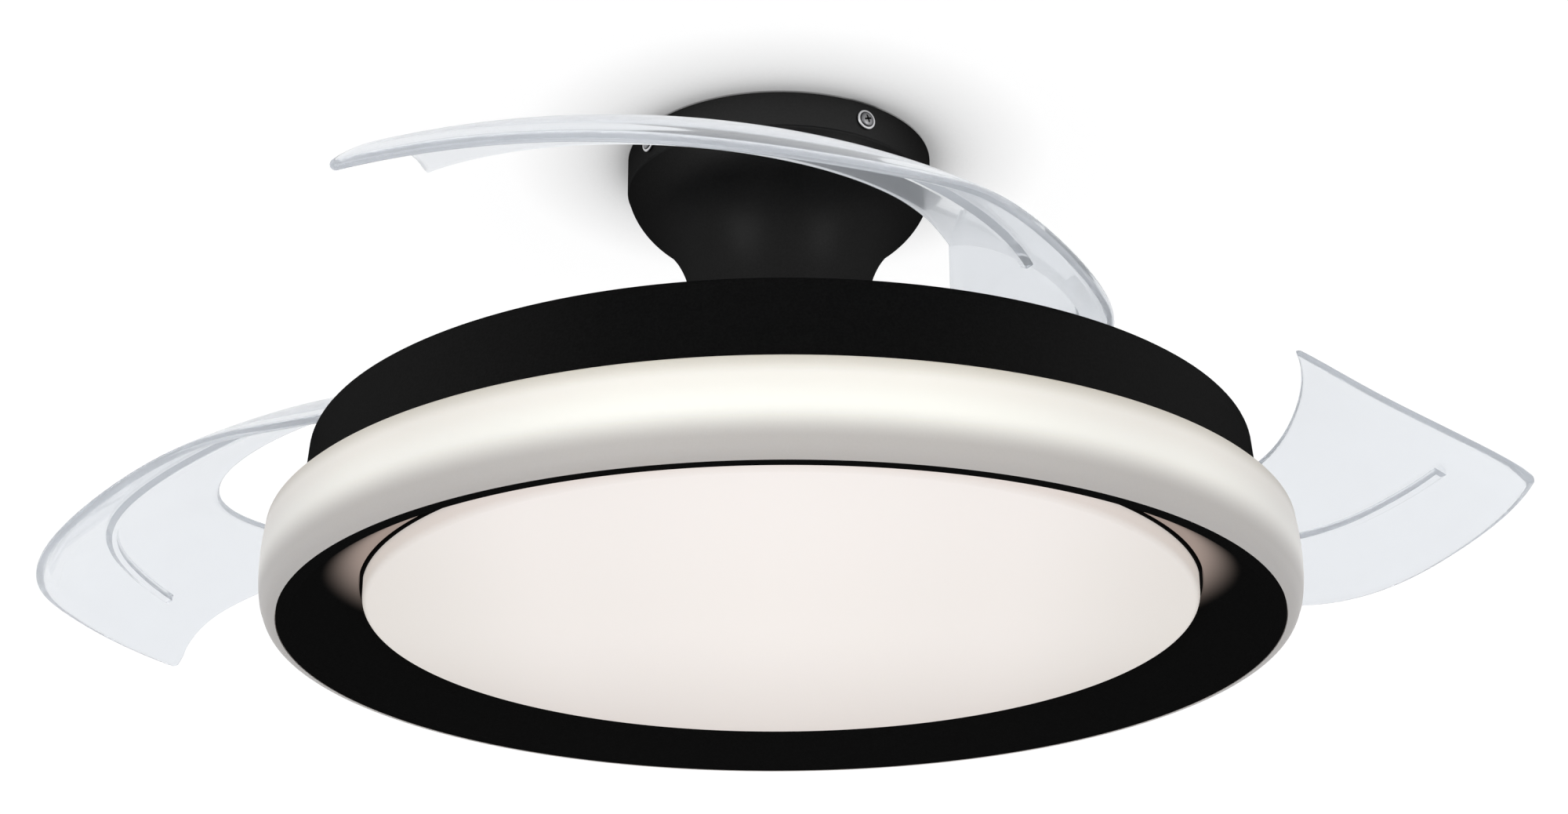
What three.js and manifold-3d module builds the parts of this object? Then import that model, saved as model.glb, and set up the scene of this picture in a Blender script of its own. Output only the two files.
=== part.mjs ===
// Ceiling fan with a round lamp and three clear blades that swing out from above the lamp.
// Millimetres, +Z up. The origin is the centre of the face that meets the ceiling, and the
// fan hangs below it. The blades stand as in use: each has swung out by its own angle.

import * as THREE from 'three';
import { mergeVertices } from 'three/addons/utils/BufferGeometryUtils.js';
import Module from 'manifold-3d';

const wasm = await Module();
wasm.setup();

// ---------------------------------------------------------------- driving dimensions

const GAP = 0.3;              // clearance between pieces that seat on each other
const RUN = 1.5;              // clearance between pieces that turn past each other
const SHEET = 1.6;            // spun steel of the canopy and the lamp housing

const DROP = 260;             // ceiling to the lowest rim of the lamp
const LAMP_H = 88;            // rim to the top of the lamp housing
const RING_H = 44;            // rim to the top of the opal ring

const CANOPY_R = 78.5;        // straight band at the ceiling
const CANOPY_BAND = 19;
const SHOULDER_IN = 19;       // band to where the bell's curve turns from convex to concave
const SHOULDER_DROP = 43;
const NECK_IN = 34.5;         // band to the foot of the neck
const CANOPY_SCREW_HEAD = 5.2;

const BRACKET_T = 2;          // ceiling bracket
const BRACKET_R = 62;
const EAR_W = 16;
const EAR_H = 17;
const SCREW_AZ = 33.5;        // first canopy screw; the others follow every 90 degrees
const CANOPY_SCREWS = 4;
const CANOPY_SCREW_DROP = 9.5;
const M4 = 1.7;               // screw shank radii
const M6 = 2.7;

const SHAFT_R = 8.5;
const SHAFT_BORE = 6;
const THREAD_R = 6.9;         // stepped foot of the shaft
const THREAD_BORE = 4.6;
const NUT_H = 6;
const LOCK_PIN_R = 2;
const FLANGE_R = 30;
const FLANGE_T = 4;
const FLANGE_BOSS_R = 14;
const FLANGE_BOSS_H = 20;
const FLANGE_BOLTS = 3;
const FLANGE_BOLT_R = 22;

const RECEIVER_L = 54;        // receiver box under the canopy
const RECEIVER_W = 22;
const RECEIVER_H = 20;
const RECEIVER_R = 48;
const RECEIVER_AZ = 168.5;

const MOTOR_R = 62;
const MOTOR_H = 60;
const CARRIER_RISE = 4.7;     // lamp housing's top edge to the blade carrier's top
const MOTOR_WALL = 5;
const MOTOR_PLATE = 3;
const BEARING_R = 20;
const BEARING_W = 10;
const HUB_WALL = 4;
const STATOR_R = 50;
const STATOR_H = 20;
const STATOR_TEETH = 12;
const MAGNET_T = 5;

const CARRIER_T = 2.5;        // disc that carries the blades
const CARRIER_PAST = 13;      // pivot to the carrier's edge
const CARRIER_LIP = 3;
const CARRIER_SCREWS = 3;
const CARRIER_SCREW_R = 40;
const WINDOW_R = 24;          // lightening holes in the carrier

const BLADES = 3;
const BLADE_SWEEPS = [42.6, 64.9, 35.1];   // how far each blade stands from its closed stop
const BLADE_TURN = 104;       // closed stop to open stop
const BLADE_AZ = [0, -120, 120];
const PIVOT_IN = 45.5;          // housing's top edge to the blade pivots
const PIVOT_AZ = -47.8;       // azimuth of the first pivot
const PIN_R = 3;
const BUSH_WALL = 1.3;
const BOSS_WALL = 2.3;
const BOSS_H = 8.6;
const ROOT_T = 3;             // flat root plate of the blade
const PEG_R = 2.6;            // stop peg under the root plate
const PEG_AT = 18;            // peg to pivot
const SPRING_WIRE = 0.7;
const SPRING_TURNS = 3;
const SPRING_PITCH = 2.2;
const SPRING_STEPS = 8;       // straight steps to a turn
const SPRING_LEG = 7;
const CAP_H = 2.6;            // cap that keeps the blade on its pin
const BUMPER_R = 2.9;         // rubber stops in the carrier's slots
const BUMPER_LIP = 1.2;
const FOLD_SLACK = 3;         // the closed stop holds the blade this many degrees short of folded

const SHEET_T = 3;            // clear sheet of the blade
const BEAD_T = 4.6;           // its outer edge
const ALONG = 20;             // steps along the blade
const ROOT_AZ = -11;          // the folded blade runs from here to its tip, clockwise
const TIP_OUTER_AZ = 114.4;
const TIP_INNER_AZ = 127.9;
const TIP_WAVES = [-6.1, 0, -0.3];           // the end edge's sway: one, two and three half waves
const CAMBER = [1.7, 2.9];   // how soon the sheet climbs from its outer edge, root and tip
const TIP_LIFT = -16.3;
// Folded blade, root to tip: how far its two long edges stand out from the housing's top
// edge, and how high above the lamp's rim.
const OUTER_OUT = [-22.7, -18.7, -20.3, 12.3, 19.1, 19.8];
const OUTER_H = [106.9, 96.6, 101.2, 77.4, 76.6, 77.4];
const INNER_OUT = [-73.9, -88.9, -80.5, -76.1, -87.2, -92.8];
const INNER_H = [122.3, 131.6, 125.9, 123.7, 130.9, 136.9];
const RIB_FROM = 0.19;         // share of the blade's length
const RIB_TO = 0.91;
const RIB_ACROSS = [0.5, 0.49, 0.38, 0.29];   // share of the blade's width, root to tip
const RIB_W = 7;
const RIB_H = 3;
const RIB_ROOT = 2.2;         // the rib starts this deep in the sheet

const HOUSING_R = 232;        // lamp housing at its top edge
const HOUSING_FLARE = 3;      // it widens this much to its foot
const HOUSING_DISH = 4;       // its top is sunk inside a raised edge
const HOUSING_EDGE = 12;
const CHASSIS_T = 1.5;        // plate that carries the lights
const POST_R = 4;
const POSTS = 3;
const POST_AZ = 30;
const RING_STEP = 15;         // opal ring beyond the housing's foot
const RING_BULGE = 2;
const RIM_TUCK = 7;           // the ring rolls under this far to the rim
const RING_WALL = 2;
const FUNNEL_T = 1.4;
const FUNNEL_W = 41;          // rim to the edge of the central light
const DISC_RISE = 11;         // rim to the lowest face of the central light
const DISC_DEPTH = 13;
const DISC_WALL = 2;

// ---------------------------------------------------------------- radii and heights that follow

const RING_TOP_R = HOUSING_R + HOUSING_FLARE + RING_STEP;
const RING_R = RING_TOP_R + RING_BULGE;
const RIM_R = RING_TOP_R - RIM_TUCK;
const DISC_R = RIM_R - FUNNEL_W;
const PIVOT_R = HOUSING_R - PIVOT_IN;
const CARRIER_R = PIVOT_R + CARRIER_PAST;
const WINDOW_AT = PIVOT_R - 2.75 * WINDOW_R;
const OUTER_R = OUTER_OUT.map((out) => HOUSING_R + out);
const INNER_R = INNER_OUT.map((out) => HOUSING_R + out);
const SHOULDER_R = CANOPY_R - SHOULDER_IN;
const NECK_R = CANOPY_R - NECK_IN;

const RIM_Z = -DROP;
const HOUSING_TOP_Z = RIM_Z + LAMP_H;
const RING_TOP_Z = RIM_Z + RING_H;
const CARRIER_Z = HOUSING_TOP_Z + CARRIER_RISE;
const MOTOR_FOOT_Z = CARRIER_Z + GAP;
const MOTOR_TOP_Z = MOTOR_FOOT_Z + MOTOR_H;
const CANOPY_FOOT_Z = MOTOR_TOP_Z + 2 * RUN;
const DISC_Z = RIM_Z + DISC_RISE;
const FLANGE_FOOT_Z = -BRACKET_T - GAP - FLANGE_T;
const SHAFT_TOP_Z = FLANGE_FOOT_Z - 1 - GAP;
const LOCK_PIN_Z = FLANGE_FOOT_Z - FLANGE_BOSS_H * 0.6;

const SEG = 36;               // facets of a large round
const SEG_MID = 24;           // facets of the shaft and motor
const SEG_SMALL = 8;          // facets of a pin or screw
const DEG = Math.PI / 180;

// ---------------------------------------------------------------- materials

const finish = (color, roughness, metalness, opacity = 1) =>
  new THREE.MeshStandardMaterial({ color, roughness, metalness, opacity, transparent: opacity < 1 });
const black = finish(0x17181a, 0.5, 0.2);
const steel = finish(0xb9bcc0, 0.35, 0.9);
const opal = finish(0xefebe6, 0.4, 0);
const clear = finish(0xdfe6ee, 0.08, 0, 0.35);
const bronze = finish(0xb08a4a, 0.4, 0.8);
const copper = finish(0xb06a3a, 0.45, 0.7);
const plastic = finish(0xe6e6e2, 0.6, 0);
const board = finish(0xf4f4f2, 0.5, 0);
const rubber = finish(0x1c1c1c, 0.9, 0);

// ---------------------------------------------------------------- solid helpers

// One closed body with shared vertices and its faces pointing out.
function closed(geometry) {
  const bare = geometry.index ? geometry.toNonIndexed() : geometry.clone();
  bare.deleteAttribute('normal');
  bare.deleteAttribute('uv');
  const merged = mergeVertices(bare, 1e-3);
  const p = merged.getAttribute('position');
  const index = merged.getIndex().array;
  const kept = [];
  let volume = 0;
  const a = new THREE.Vector3();
  const b = new THREE.Vector3();
  const c = new THREE.Vector3();
  for (let i = 0; i < index.length; i += 3) {
    const [i0, i1, i2] = [index[i], index[i + 1], index[i + 2]];
    if (i0 === i1 || i1 === i2 || i2 === i0) continue;
    kept.push(i0, i1, i2);
    volume += a.fromBufferAttribute(p, i0).dot(
      b.fromBufferAttribute(p, i1).cross(c.fromBufferAttribute(p, i2)));
  }
  if (volume < 0) kept.reverse();
  merged.setIndex(kept);
  return merged;
}

function solid(geometry) {
  const body = closed(geometry);
  return new wasm.Manifold(new wasm.Mesh({
    numProp: 3,
    vertProperties: new Float32Array(body.getAttribute('position').array),
    triVerts: new Uint32Array(body.getIndex().array),
  }));
}

function geometryOf(manifold) {
  const mesh = manifold.simplify(0.01).getMesh();
  const geometry = new THREE.BufferGeometry();
  geometry.setAttribute('position', new THREE.BufferAttribute(new Float32Array(mesh.vertProperties), 3));
  geometry.setIndex(new THREE.BufferAttribute(new Uint32Array(mesh.triVerts), 1));
  return closed(geometry);
}

function union(...geometries) {
  return geometryOf(geometries.map(solid).reduce((all, next) => all.add(next)));
}

function cut(geometry, ...tools) {
  return geometryOf(tools.map(solid).reduce((left, tool) => left.subtract(tool), solid(geometry)));
}

function common(first, second) {
  return geometryOf(solid(first).intersect(solid(second)));
}

// A profile of [radius, height] pairs turned round Z. It closes on itself unless it starts
// and ends on the axis.
function revolve(profile, segments = SEG) {
  const points = profile.map(([r, z]) => new THREE.Vector2(r, z));
  const onAxis = profile[0][0] === 0 && profile[profile.length - 1][0] === 0;
  if (!onAxis) points.push(points[0].clone());
  return closed(new THREE.LatheGeometry(points, segments).rotateX(Math.PI / 2));
}

// A plain or stepped cylinder from z0 up to z1.
function rod(radius, z0, z1, segments = SEG_SMALL) {
  return revolve([[0, z0], [radius, z0], [radius, z1], [0, z1]], segments);
}

// A cutting tool whose flats, not its corners, lie at the radius.
function drill(radius, z0, z1, segments = SEG_SMALL) {
  return rod(radius / Math.cos(Math.PI / segments), z0, z1, segments);
}

function tube(inner, outer, z0, z1, segments = SEG) {
  return revolve([[inner, z0], [outer, z0], [outer, z1], [inner, z1]], segments);
}

function box(sx, sy, sz, x, y, z) {
  return new THREE.BoxGeometry(sx, sy, sz).translate(x, y, z);
}

function drillAlongX(radius, x0, x1, z) {
  return drill(radius, x0, x1).rotateY(Math.PI / 2).translate(0, 0, z);
}

// A rod that lies along +X from x0 to x1 at height z.
function rodAlongX(radius, x0, x1, z, segments = SEG_SMALL) {
  return rod(radius, x0, x1, segments).rotateY(Math.PI / 2).translate(0, 0, z);
}

function turned(geometry, degrees) {
  return geometry.clone().rotateZ(degrees * DEG);
}

function around(count, first, make) {
  return Array.from({ length: count }, (_, i) => make(first + (360 / count) * i, i));
}

// Offsets an open [radius, height] line sideways by a distance, to the left of its travel.
function offsetLine(line, distance) {
  return line.map((point, i) => {
    const before = line[Math.max(i - 1, 0)];
    const after = line[Math.min(i + 1, line.length - 1)];
    const dx = after[0] - before[0];
    const dz = after[1] - before[1];
    const length = Math.hypot(dx, dz);
    return [point[0] - (dz / length) * distance, point[1] + (dx / length) * distance];
  });
}

function bezier(p0, p1, p2, p3, steps) {
  const curve = new THREE.CubicBezierCurve(...[p0, p1, p2, p3].map(([x, y]) => new THREE.Vector2(x, y)));
  return curve.getPoints(steps).map((point) => [point.x, point.y]);
}

// ---------------------------------------------------------------- ceiling side

const BRACKET_REACH = CANOPY_R - SHEET - GAP;
const screwAzimuths = around(CANOPY_SCREWS, SCREW_AZ, (azimuth) => azimuth);

function ceilingBracket() {
  const tabStart = BRACKET_R - 8;
  const tabs = screwAzimuths.map((azimuth) => turned(
    box(BRACKET_REACH - tabStart, EAR_W, BRACKET_T,
      (BRACKET_REACH + tabStart) / 2, 0, -BRACKET_T / 2), azimuth));
  const ears = screwAzimuths.map((azimuth) => turned(
    box(BRACKET_T + 1, EAR_W, EAR_H, BRACKET_REACH - (BRACKET_T - 1) / 2, 0, -EAR_H / 2), azimuth));
  const blank = common(
    union(rod(BRACKET_R, -BRACKET_T, 0, SEG), ...tabs, ...ears),
    rod(BRACKET_REACH, -EAR_H - 1, 1, SEG));
  const screwHoles = screwAzimuths.map((azimuth) =>
    turned(drillAlongX(M4 + GAP, BRACKET_R, CANOPY_R, -CANOPY_SCREW_DROP), azimuth));
  const boltHoles = around(FLANGE_BOLTS, 0, (azimuth) =>
    turned(drill(M6 + GAP, -BRACKET_T - 1, 1).translate(FLANGE_BOLT_R, 0, 0), azimuth));
  const slotR = 3.2;
  const slotRun = 12;
  const slots = around(4, SCREW_AZ + 45, (azimuth) => turned(union(
    rod(slotR, -BRACKET_T - 1, 1).translate(BRACKET_R - 12, -slotRun / 2, 0),
    rod(slotR, -BRACKET_T - 1, 1).translate(BRACKET_R - 12, slotRun / 2, 0),
    box(2 * slotR, slotRun, BRACKET_T + 2, BRACKET_R - 12, 0, -BRACKET_T / 2)), azimuth));
  const wireR = 8;
  const wireHole = turned(rod(wireR, -BRACKET_T - 1, 1).translate(FLANGE_R + wireR + 2, 0, 0), SCREW_AZ);
  return cut(blank, ...screwHoles, ...boltHoles, ...slots, wireHole);
}

function canopyLine() {
  const crease = 0.5;
  const shoulder = bezier([CANOPY_R - crease, -CANOPY_BAND], [CANOPY_R - crease, -CANOPY_BAND - 10],
    [SHOULDER_R + 8, -SHOULDER_DROP + 9], [SHOULDER_R, -SHOULDER_DROP], 5);
  const neck = bezier([SHOULDER_R, -SHOULDER_DROP], [SHOULDER_R - 8, -SHOULDER_DROP - 8],
    [NECK_R + 4.5, -SHOULDER_DROP - 15], [NECK_R + 1.5, (CANOPY_FOOT_Z - SHOULDER_DROP) * 0.55], 4);
  return [[CANOPY_R, -GAP - 0.2], [CANOPY_R, -CANOPY_BAND + crease], ...shoulder,
    ...neck.slice(1), [NECK_R, CANOPY_FOOT_Z]];
}

function canopyCover() {
  const outer = canopyLine();
  const inner = offsetLine(outer, -SHEET);
  inner[0] = [CANOPY_R - SHEET, outer[0][1]];
  inner[1] = [CANOPY_R - SHEET, outer[1][1]];
  inner[inner.length - 1][1] = CANOPY_FOOT_Z;
  const shell = revolve([...outer, ...inner.reverse()]);
  const holes = screwAzimuths.map((azimuth) =>
    turned(drillAlongX(M4 + 0.6, BRACKET_R + 8, CANOPY_R + 4, -CANOPY_SCREW_DROP), azimuth));
  return cut(shell, ...holes);
}

// Cross-recess pan head screw along +X, its head seated outside the radius `seat`.
function panHeadScrew(headR, headH, shankR, seat, length) {
  const screw = revolve([[0, -length], [shankR * 0.6, -length], [shankR, -length + shankR * 0.6],
    [shankR, 0], [headR, 0], [headR, headH * 0.4], [headR * 0.8, headH * 0.82],
    [headR * 0.45, headH], [0, headH]], SEG_SMALL);
  const slotW = headR * 0.22;
  const slotL = headR * 1.1;
  const recess = union(box(slotL, slotW, headH, 0, 0, headH * 1.05),
    box(slotW, slotL, headH, 0, 0, headH * 1.05));
  return cut(screw, recess).rotateY(Math.PI / 2).translate(seat, 0, 0);
}

// The canopy's screws have a ring round the head, seated on the band.
function canopyScrew(azimuth) {
  const washer = revolve([[M4 * 0.8, 0], [CANOPY_SCREW_HEAD, 0], [CANOPY_SCREW_HEAD, 0.5],
    [CANOPY_SCREW_HEAD - 0.7, 0.9], [M4 * 0.8, 0.9]], 2 * SEG_SMALL)
    .rotateY(Math.PI / 2).translate(CANOPY_R + GAP, 0, 0);
  const screw = panHeadScrew(CANOPY_SCREW_HEAD - 1.5, 2.2, M4, CANOPY_R + GAP, 9);
  return turned(union(washer, screw).translate(0, 0, -CANOPY_SCREW_DROP), azimuth);
}

function hangerFlange() {
  const top = -BRACKET_T - GAP;
  const foot = top - FLANGE_T;
  const boreR = SHAFT_R + GAP;
  const bossFoot = foot - FLANGE_BOSS_H;
  const body = revolve([[0, top], [FLANGE_R, top], [FLANGE_R, foot], [FLANGE_BOSS_R + 2, foot],
    [FLANGE_BOSS_R, foot - 2], [FLANGE_BOSS_R, bossFoot], [boreR, bossFoot], [boreR, foot - 1],
    [0, foot - 1]], SEG_MID);
  const bolts = around(FLANGE_BOLTS, 0, (azimuth) =>
    turned(drill(M6 + GAP, foot - 1, top + 1).translate(FLANGE_BOLT_R, 0, 0), azimuth));
  const pinHole = drillAlongX(LOCK_PIN_R + GAP, -FLANGE_BOSS_R - 2, FLANGE_BOSS_R + 2, LOCK_PIN_Z);
  return cut(body, ...bolts, pinHole);
}

function hexBolt(shankR, headAcross, headH, headTop, length) {
  const head = new THREE.CylinderGeometry(headAcross, headAcross, headH, 6)
    .rotateX(Math.PI / 2).translate(0, 0, headTop - headH / 2);
  return union(head, rod(shankR, headTop - headH / 2, headTop + length));
}

function receiverBox() {
  const corner = 4;
  const shape = new THREE.Shape();
  const [hx, hy] = [RECEIVER_W / 2 - corner, RECEIVER_L / 2 - corner];
  shape.absarc(hx, hy, corner, 0, Math.PI / 2);
  shape.absarc(-hx, hy, corner, Math.PI / 2, Math.PI);
  shape.absarc(-hx, -hy, corner, Math.PI, 1.5 * Math.PI);
  shape.absarc(hx, -hy, corner, 1.5 * Math.PI, 2 * Math.PI);
  const top = -BRACKET_T - GAP;
  const bevel = 1;
  const body = closed(new THREE.ExtrudeGeometry(shape, {
    depth: RECEIVER_H - 2 * bevel, bevelEnabled: true, bevelSize: bevel, bevelThickness: bevel,
    bevelOffset: -bevel, bevelSegments: 1, curveSegments: 3,
  })).translate(RECEIVER_R, 0, top - RECEIVER_H + bevel);
  const mouths = Array.from({ length: 4 }, (_, i) =>
    box(3, 5, 4, RECEIVER_R - RECEIVER_W / 2, (i - 1.5) * 9, top - RECEIVER_H / 2));
  return turned(cut(body, ...mouths), RECEIVER_AZ);
}

// ---------------------------------------------------------------- motor

const hubR = BEARING_R + GAP;
const upperBearingTop = MOTOR_TOP_Z - MOTOR_PLATE - GAP;
const lowerBearingFoot = MOTOR_FOOT_Z + MOTOR_PLATE + GAP;
const motorMid = (MOTOR_TOP_Z + MOTOR_FOOT_Z) / 2;

function fixedShaft() {
  const neck = SHAFT_FOOT_Z;
  const shoulder = DISH_Z + GAP;
  const body = revolve([[THREAD_BORE, neck], [THREAD_R - 0.8, neck], [THREAD_R, neck + 0.8],
    [THREAD_R, shoulder], [SHAFT_R, shoulder], [SHAFT_R, SHAFT_TOP_Z], [SHAFT_BORE, SHAFT_TOP_Z],
    [SHAFT_BORE, shoulder + 4], [THREAD_BORE, shoulder + 3]], SEG_MID);
  return cut(body, drillAlongX(LOCK_PIN_R + GAP, -SHAFT_R - 2, SHAFT_R + 2, LOCK_PIN_Z),
    rodAlongX(2.5, 0, SHAFT_R + 2, -FLANGE_BOSS_H * 2).rotateZ(Math.PI / 2));
}

function ballBearing(foot) {
  const inner = SHAFT_R + GAP;
  const groove = 0.8;
  const land = 3;
  const top = foot + BEARING_W;
  return revolve([[inner, foot], [inner + land, foot], [inner + land + 0.6, foot + groove],
    [BEARING_R - land - 0.6, foot + groove], [BEARING_R - land, foot], [BEARING_R, foot],
    [BEARING_R, top], [BEARING_R - land, top], [BEARING_R - land - 0.6, top - groove],
    [inner + land + 0.6, top - groove], [inner + land, top], [inner, top]], 2 * SEG_SMALL);
}

function statorCore() {
  const shape = new THREE.Shape();
  const pitch = (2 * Math.PI) / STATOR_TEETH;
  const neckR = 24;
  for (let i = 0; i < STATOR_TEETH; i += 1) {
    const a = i * pitch;
    shape[i ? 'lineTo' : 'moveTo'](neckR * Math.cos(a - 0.3 * pitch), neckR * Math.sin(a - 0.3 * pitch));
    const face = [[STATOR_R - 4, -0.2], [STATOR_R - 3, -0.42], [STATOR_R, -0.42], [STATOR_R, 0],
      [STATOR_R, 0.42], [STATOR_R - 3, 0.42], [STATOR_R - 4, 0.2]];
    face.forEach(([r, share]) => shape.lineTo(
      r * Math.cos(a + share * pitch), r * Math.sin(a + share * pitch)));
    shape.lineTo(neckR * Math.cos(a + 0.3 * pitch), neckR * Math.sin(a + 0.3 * pitch));
  }
  const bore = new THREE.Path();
  bore.absarc(0, 0, SHAFT_R + GAP, 0, 2 * Math.PI, true);
  shape.holes.push(bore);
  const stack = { depth: STATOR_H, bevelEnabled: false, curveSegments: 7 };
  return closed(new THREE.ExtrudeGeometry(shape, stack)).translate(0, 0, motorMid - STATOR_H / 2);
}

const MAGNET_IN = MOTOR_R - MOTOR_WALL - MAGNET_T - GAP;

function rotorUpperCover() {
  const bore = SHAFT_R + RUN;
  const wallIn = MOTOR_R - MOTOR_WALL;
  const hubFoot = upperBearingTop - BEARING_W;
  const under = MOTOR_TOP_Z - MOTOR_PLATE;
  const foot = motorMid + GAP / 2;
  const cover = revolve([[bore, MOTOR_TOP_Z], [NECK_R, MOTOR_TOP_Z], [MOTOR_R - 6, MOTOR_TOP_Z - 1.5],
    [MOTOR_R - 1.5, MOTOR_TOP_Z - 5], [MOTOR_R, MOTOR_TOP_Z - 9], [MOTOR_R, foot], [wallIn, foot],
    [wallIn, under - 4], [wallIn - 4, under], [hubR + HUB_WALL, under], [hubR + HUB_WALL, hubFoot],
    [hubR, hubFoot], [hubR, under], [bore, under]], SEG_MID);
  return cover;
}

function rotorLowerCover() {
  const bore = SHAFT_R + RUN;
  const wallIn = MOTOR_R - MOTOR_WALL;
  const hubTop = lowerBearingFoot + BEARING_W;
  const over = MOTOR_FOOT_Z + MOTOR_PLATE;
  const top = motorMid - GAP / 2;
  const cover = revolve([[bore, MOTOR_FOOT_Z], [MOTOR_R - 1, MOTOR_FOOT_Z], [MOTOR_R, MOTOR_FOOT_Z + 1],
    [MOTOR_R, top], [wallIn, top], [wallIn, over], [hubR + HUB_WALL, over], [hubR + HUB_WALL, hubTop],
    [hubR, hubTop], [hubR, over], [bore, over]], SEG_MID);
  const holes = around(CARRIER_SCREWS, 0, (azimuth) => turned(
    rod(M4 + GAP, MOTOR_FOOT_Z - 1, over + 1).translate(CARRIER_SCREW_R, 0, 0), azimuth));
  return cut(cover, ...holes);
}

// Coils wound on the teeth, joined by the ring of end turns above the core.
function statorWinding() {
  const clearance = 0.4;
  const coilT = 2.4;
  const over = 3.4;
  const [r0, r1] = [27.5, 43];
  const toothW = 0.4 * ((2 * Math.PI) / STATOR_TEETH) * (STATOR_R - 4);
  const mid = (r0 + r1) / 2;
  const coils = around(STATOR_TEETH, 0, (azimuth) => turned(cut(
    box(r1 - r0, toothW + 2 * (clearance + coilT), STATOR_H + 2 * (clearance + over), mid, 0, motorMid),
    box(r1 - r0 + 2, toothW + 2 * clearance, STATOR_H + 2 * clearance, mid, 0, motorMid)), azimuth));
  const ring = tube(r0 - 2, r0 + 3, motorMid + STATOR_H / 2 + clearance + 0.6,
    motorMid + STATOR_H / 2 + clearance + over, SEG_MID);
  return union(ring, ...coils);
}

// ---------------------------------------------------------------- blade carrier

const CARRIER_FOOT_Z = CARRIER_Z - CARRIER_T;
const PEG_CLOSED = 180 - BLADE_TURN / 2;      // peg's azimuth about its pivot
const BUMPER_STEP = (PEG_R + BUMPER_R + BUMPER_LIP + GAP) / PEG_AT / DEG;
const pivotAzimuths = BLADE_AZ.map((azimuth) => PIVOT_AZ + azimuth);

function atPivot(geometry, index) {
  return geometry.clone().translate(PIVOT_R, 0, 0).rotateZ(pivotAzimuths[index] * DEG);
}

function arcSlot(radius, halfWidth, from, to, z0, z1) {
  const shape = new THREE.Shape();
  shape.absarc(0, 0, radius + halfWidth, from * DEG, to * DEG, false);
  shape.absarc(0, 0, radius - halfWidth, to * DEG, from * DEG, true);
  const band = new THREE.ExtrudeGeometry(shape, { depth: z1 - z0, bevelEnabled: false, curveSegments: 5 })
    .translate(0, 0, z0);
  const ends = [from, to].map((azimuth) =>
    turned(drill(halfWidth, z0, z1).translate(radius, 0, 0), azimuth));
  return union(band, ...ends);
}

function bladeCarrier() {
  const bore = SHAFT_R + 3 * RUN;
  const top = CARRIER_Z;
  const foot = CARRIER_FOOT_Z;
  const disc = revolve([[bore, foot], [bore, top], [CARRIER_R - 2, top], [CARRIER_R, top - 2],
    [CARRIER_R, foot - CARRIER_LIP], [CARRIER_R - CARRIER_T, foot - CARRIER_LIP],
    [CARRIER_R - CARRIER_T, foot - 1], [CARRIER_R - CARRIER_T - 1, foot]]);
  const through = (radius, at, azimuth, segments) =>
    turned(drill(radius, foot - 4, top + 2, segments).translate(at, 0, 0), azimuth);
  const windows = around(BLADES * 2, PIVOT_AZ + 30, (azimuth) => through(WINDOW_R, WINDOW_AT, azimuth, 16));
  const screws = around(CARRIER_SCREWS, 0, (azimuth) => through(M4 + GAP, CARRIER_SCREW_R, azimuth));
  const pivots = pivotAzimuths.map((azimuth) => through(PIN_R + GAP, PIVOT_R, azimuth));
  const slots = pivotAzimuths.map((azimuth, i) => atPivot(arcSlot(PEG_AT, BUMPER_R + GAP,
    PEG_CLOSED - BUMPER_STEP, PEG_CLOSED + BLADE_TURN + BUMPER_STEP, foot - 4, top + 2), i));
  return cut(disc, ...windows, ...screws, ...pivots, ...slots);
}

function carrierScrew(azimuth) {
  const head = CARRIER_FOOT_Z - GAP;
  const screw = revolve([[0, head - 2], [2.6, head - 2], [3.4, head - 1.2], [3.4, head], [M4, head],
    [M4, MOTOR_FOOT_Z + MOTOR_PLATE], [0, MOTOR_FOOT_Z + MOTOR_PLATE]], SEG_SMALL);
  const recess = union(box(3.6, 0.8, 1.6, 0, 0, head - 2), box(0.8, 3.6, 1.6, 0, 0, head - 2));
  return turned(cut(screw, recess).translate(CARRIER_SCREW_R, 0, 0), azimuth);
}

// A rubber plug that fills one end of the arc slot and stops the blade's peg.
function stopBumper(azimuth) {
  const [top, foot] = [CARRIER_Z + GAP, CARRIER_FOOT_Z - GAP];
  const lip = BUMPER_R + BUMPER_LIP;
  return turned(revolve([[0, foot - 1.2], [lip - 0.6, foot - 1.2], [lip, foot],
    [BUMPER_R, foot], [BUMPER_R, top], [lip, top], [lip - 0.6, top + 1],
    [0, top + 1]], SEG_SMALL)
    .translate(PEG_AT, 0, 0), azimuth);
}

// ---------------------------------------------------------------- blade

const ROOT_FOOT_Z = CARRIER_Z + 2.2;
const ROOT_TOP_Z = ROOT_FOOT_Z + ROOT_T;
const BUSH_R = PIN_R + GAP + BUSH_WALL;
const BOSS_BORE = BUSH_R + GAP;
const BOSS_R = BOSS_BORE + BOSS_WALL;
const BOSS_TOP_Z = ROOT_TOP_Z + BOSS_H;
const CAP_Z = BOSS_TOP_Z + GAP;

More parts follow.
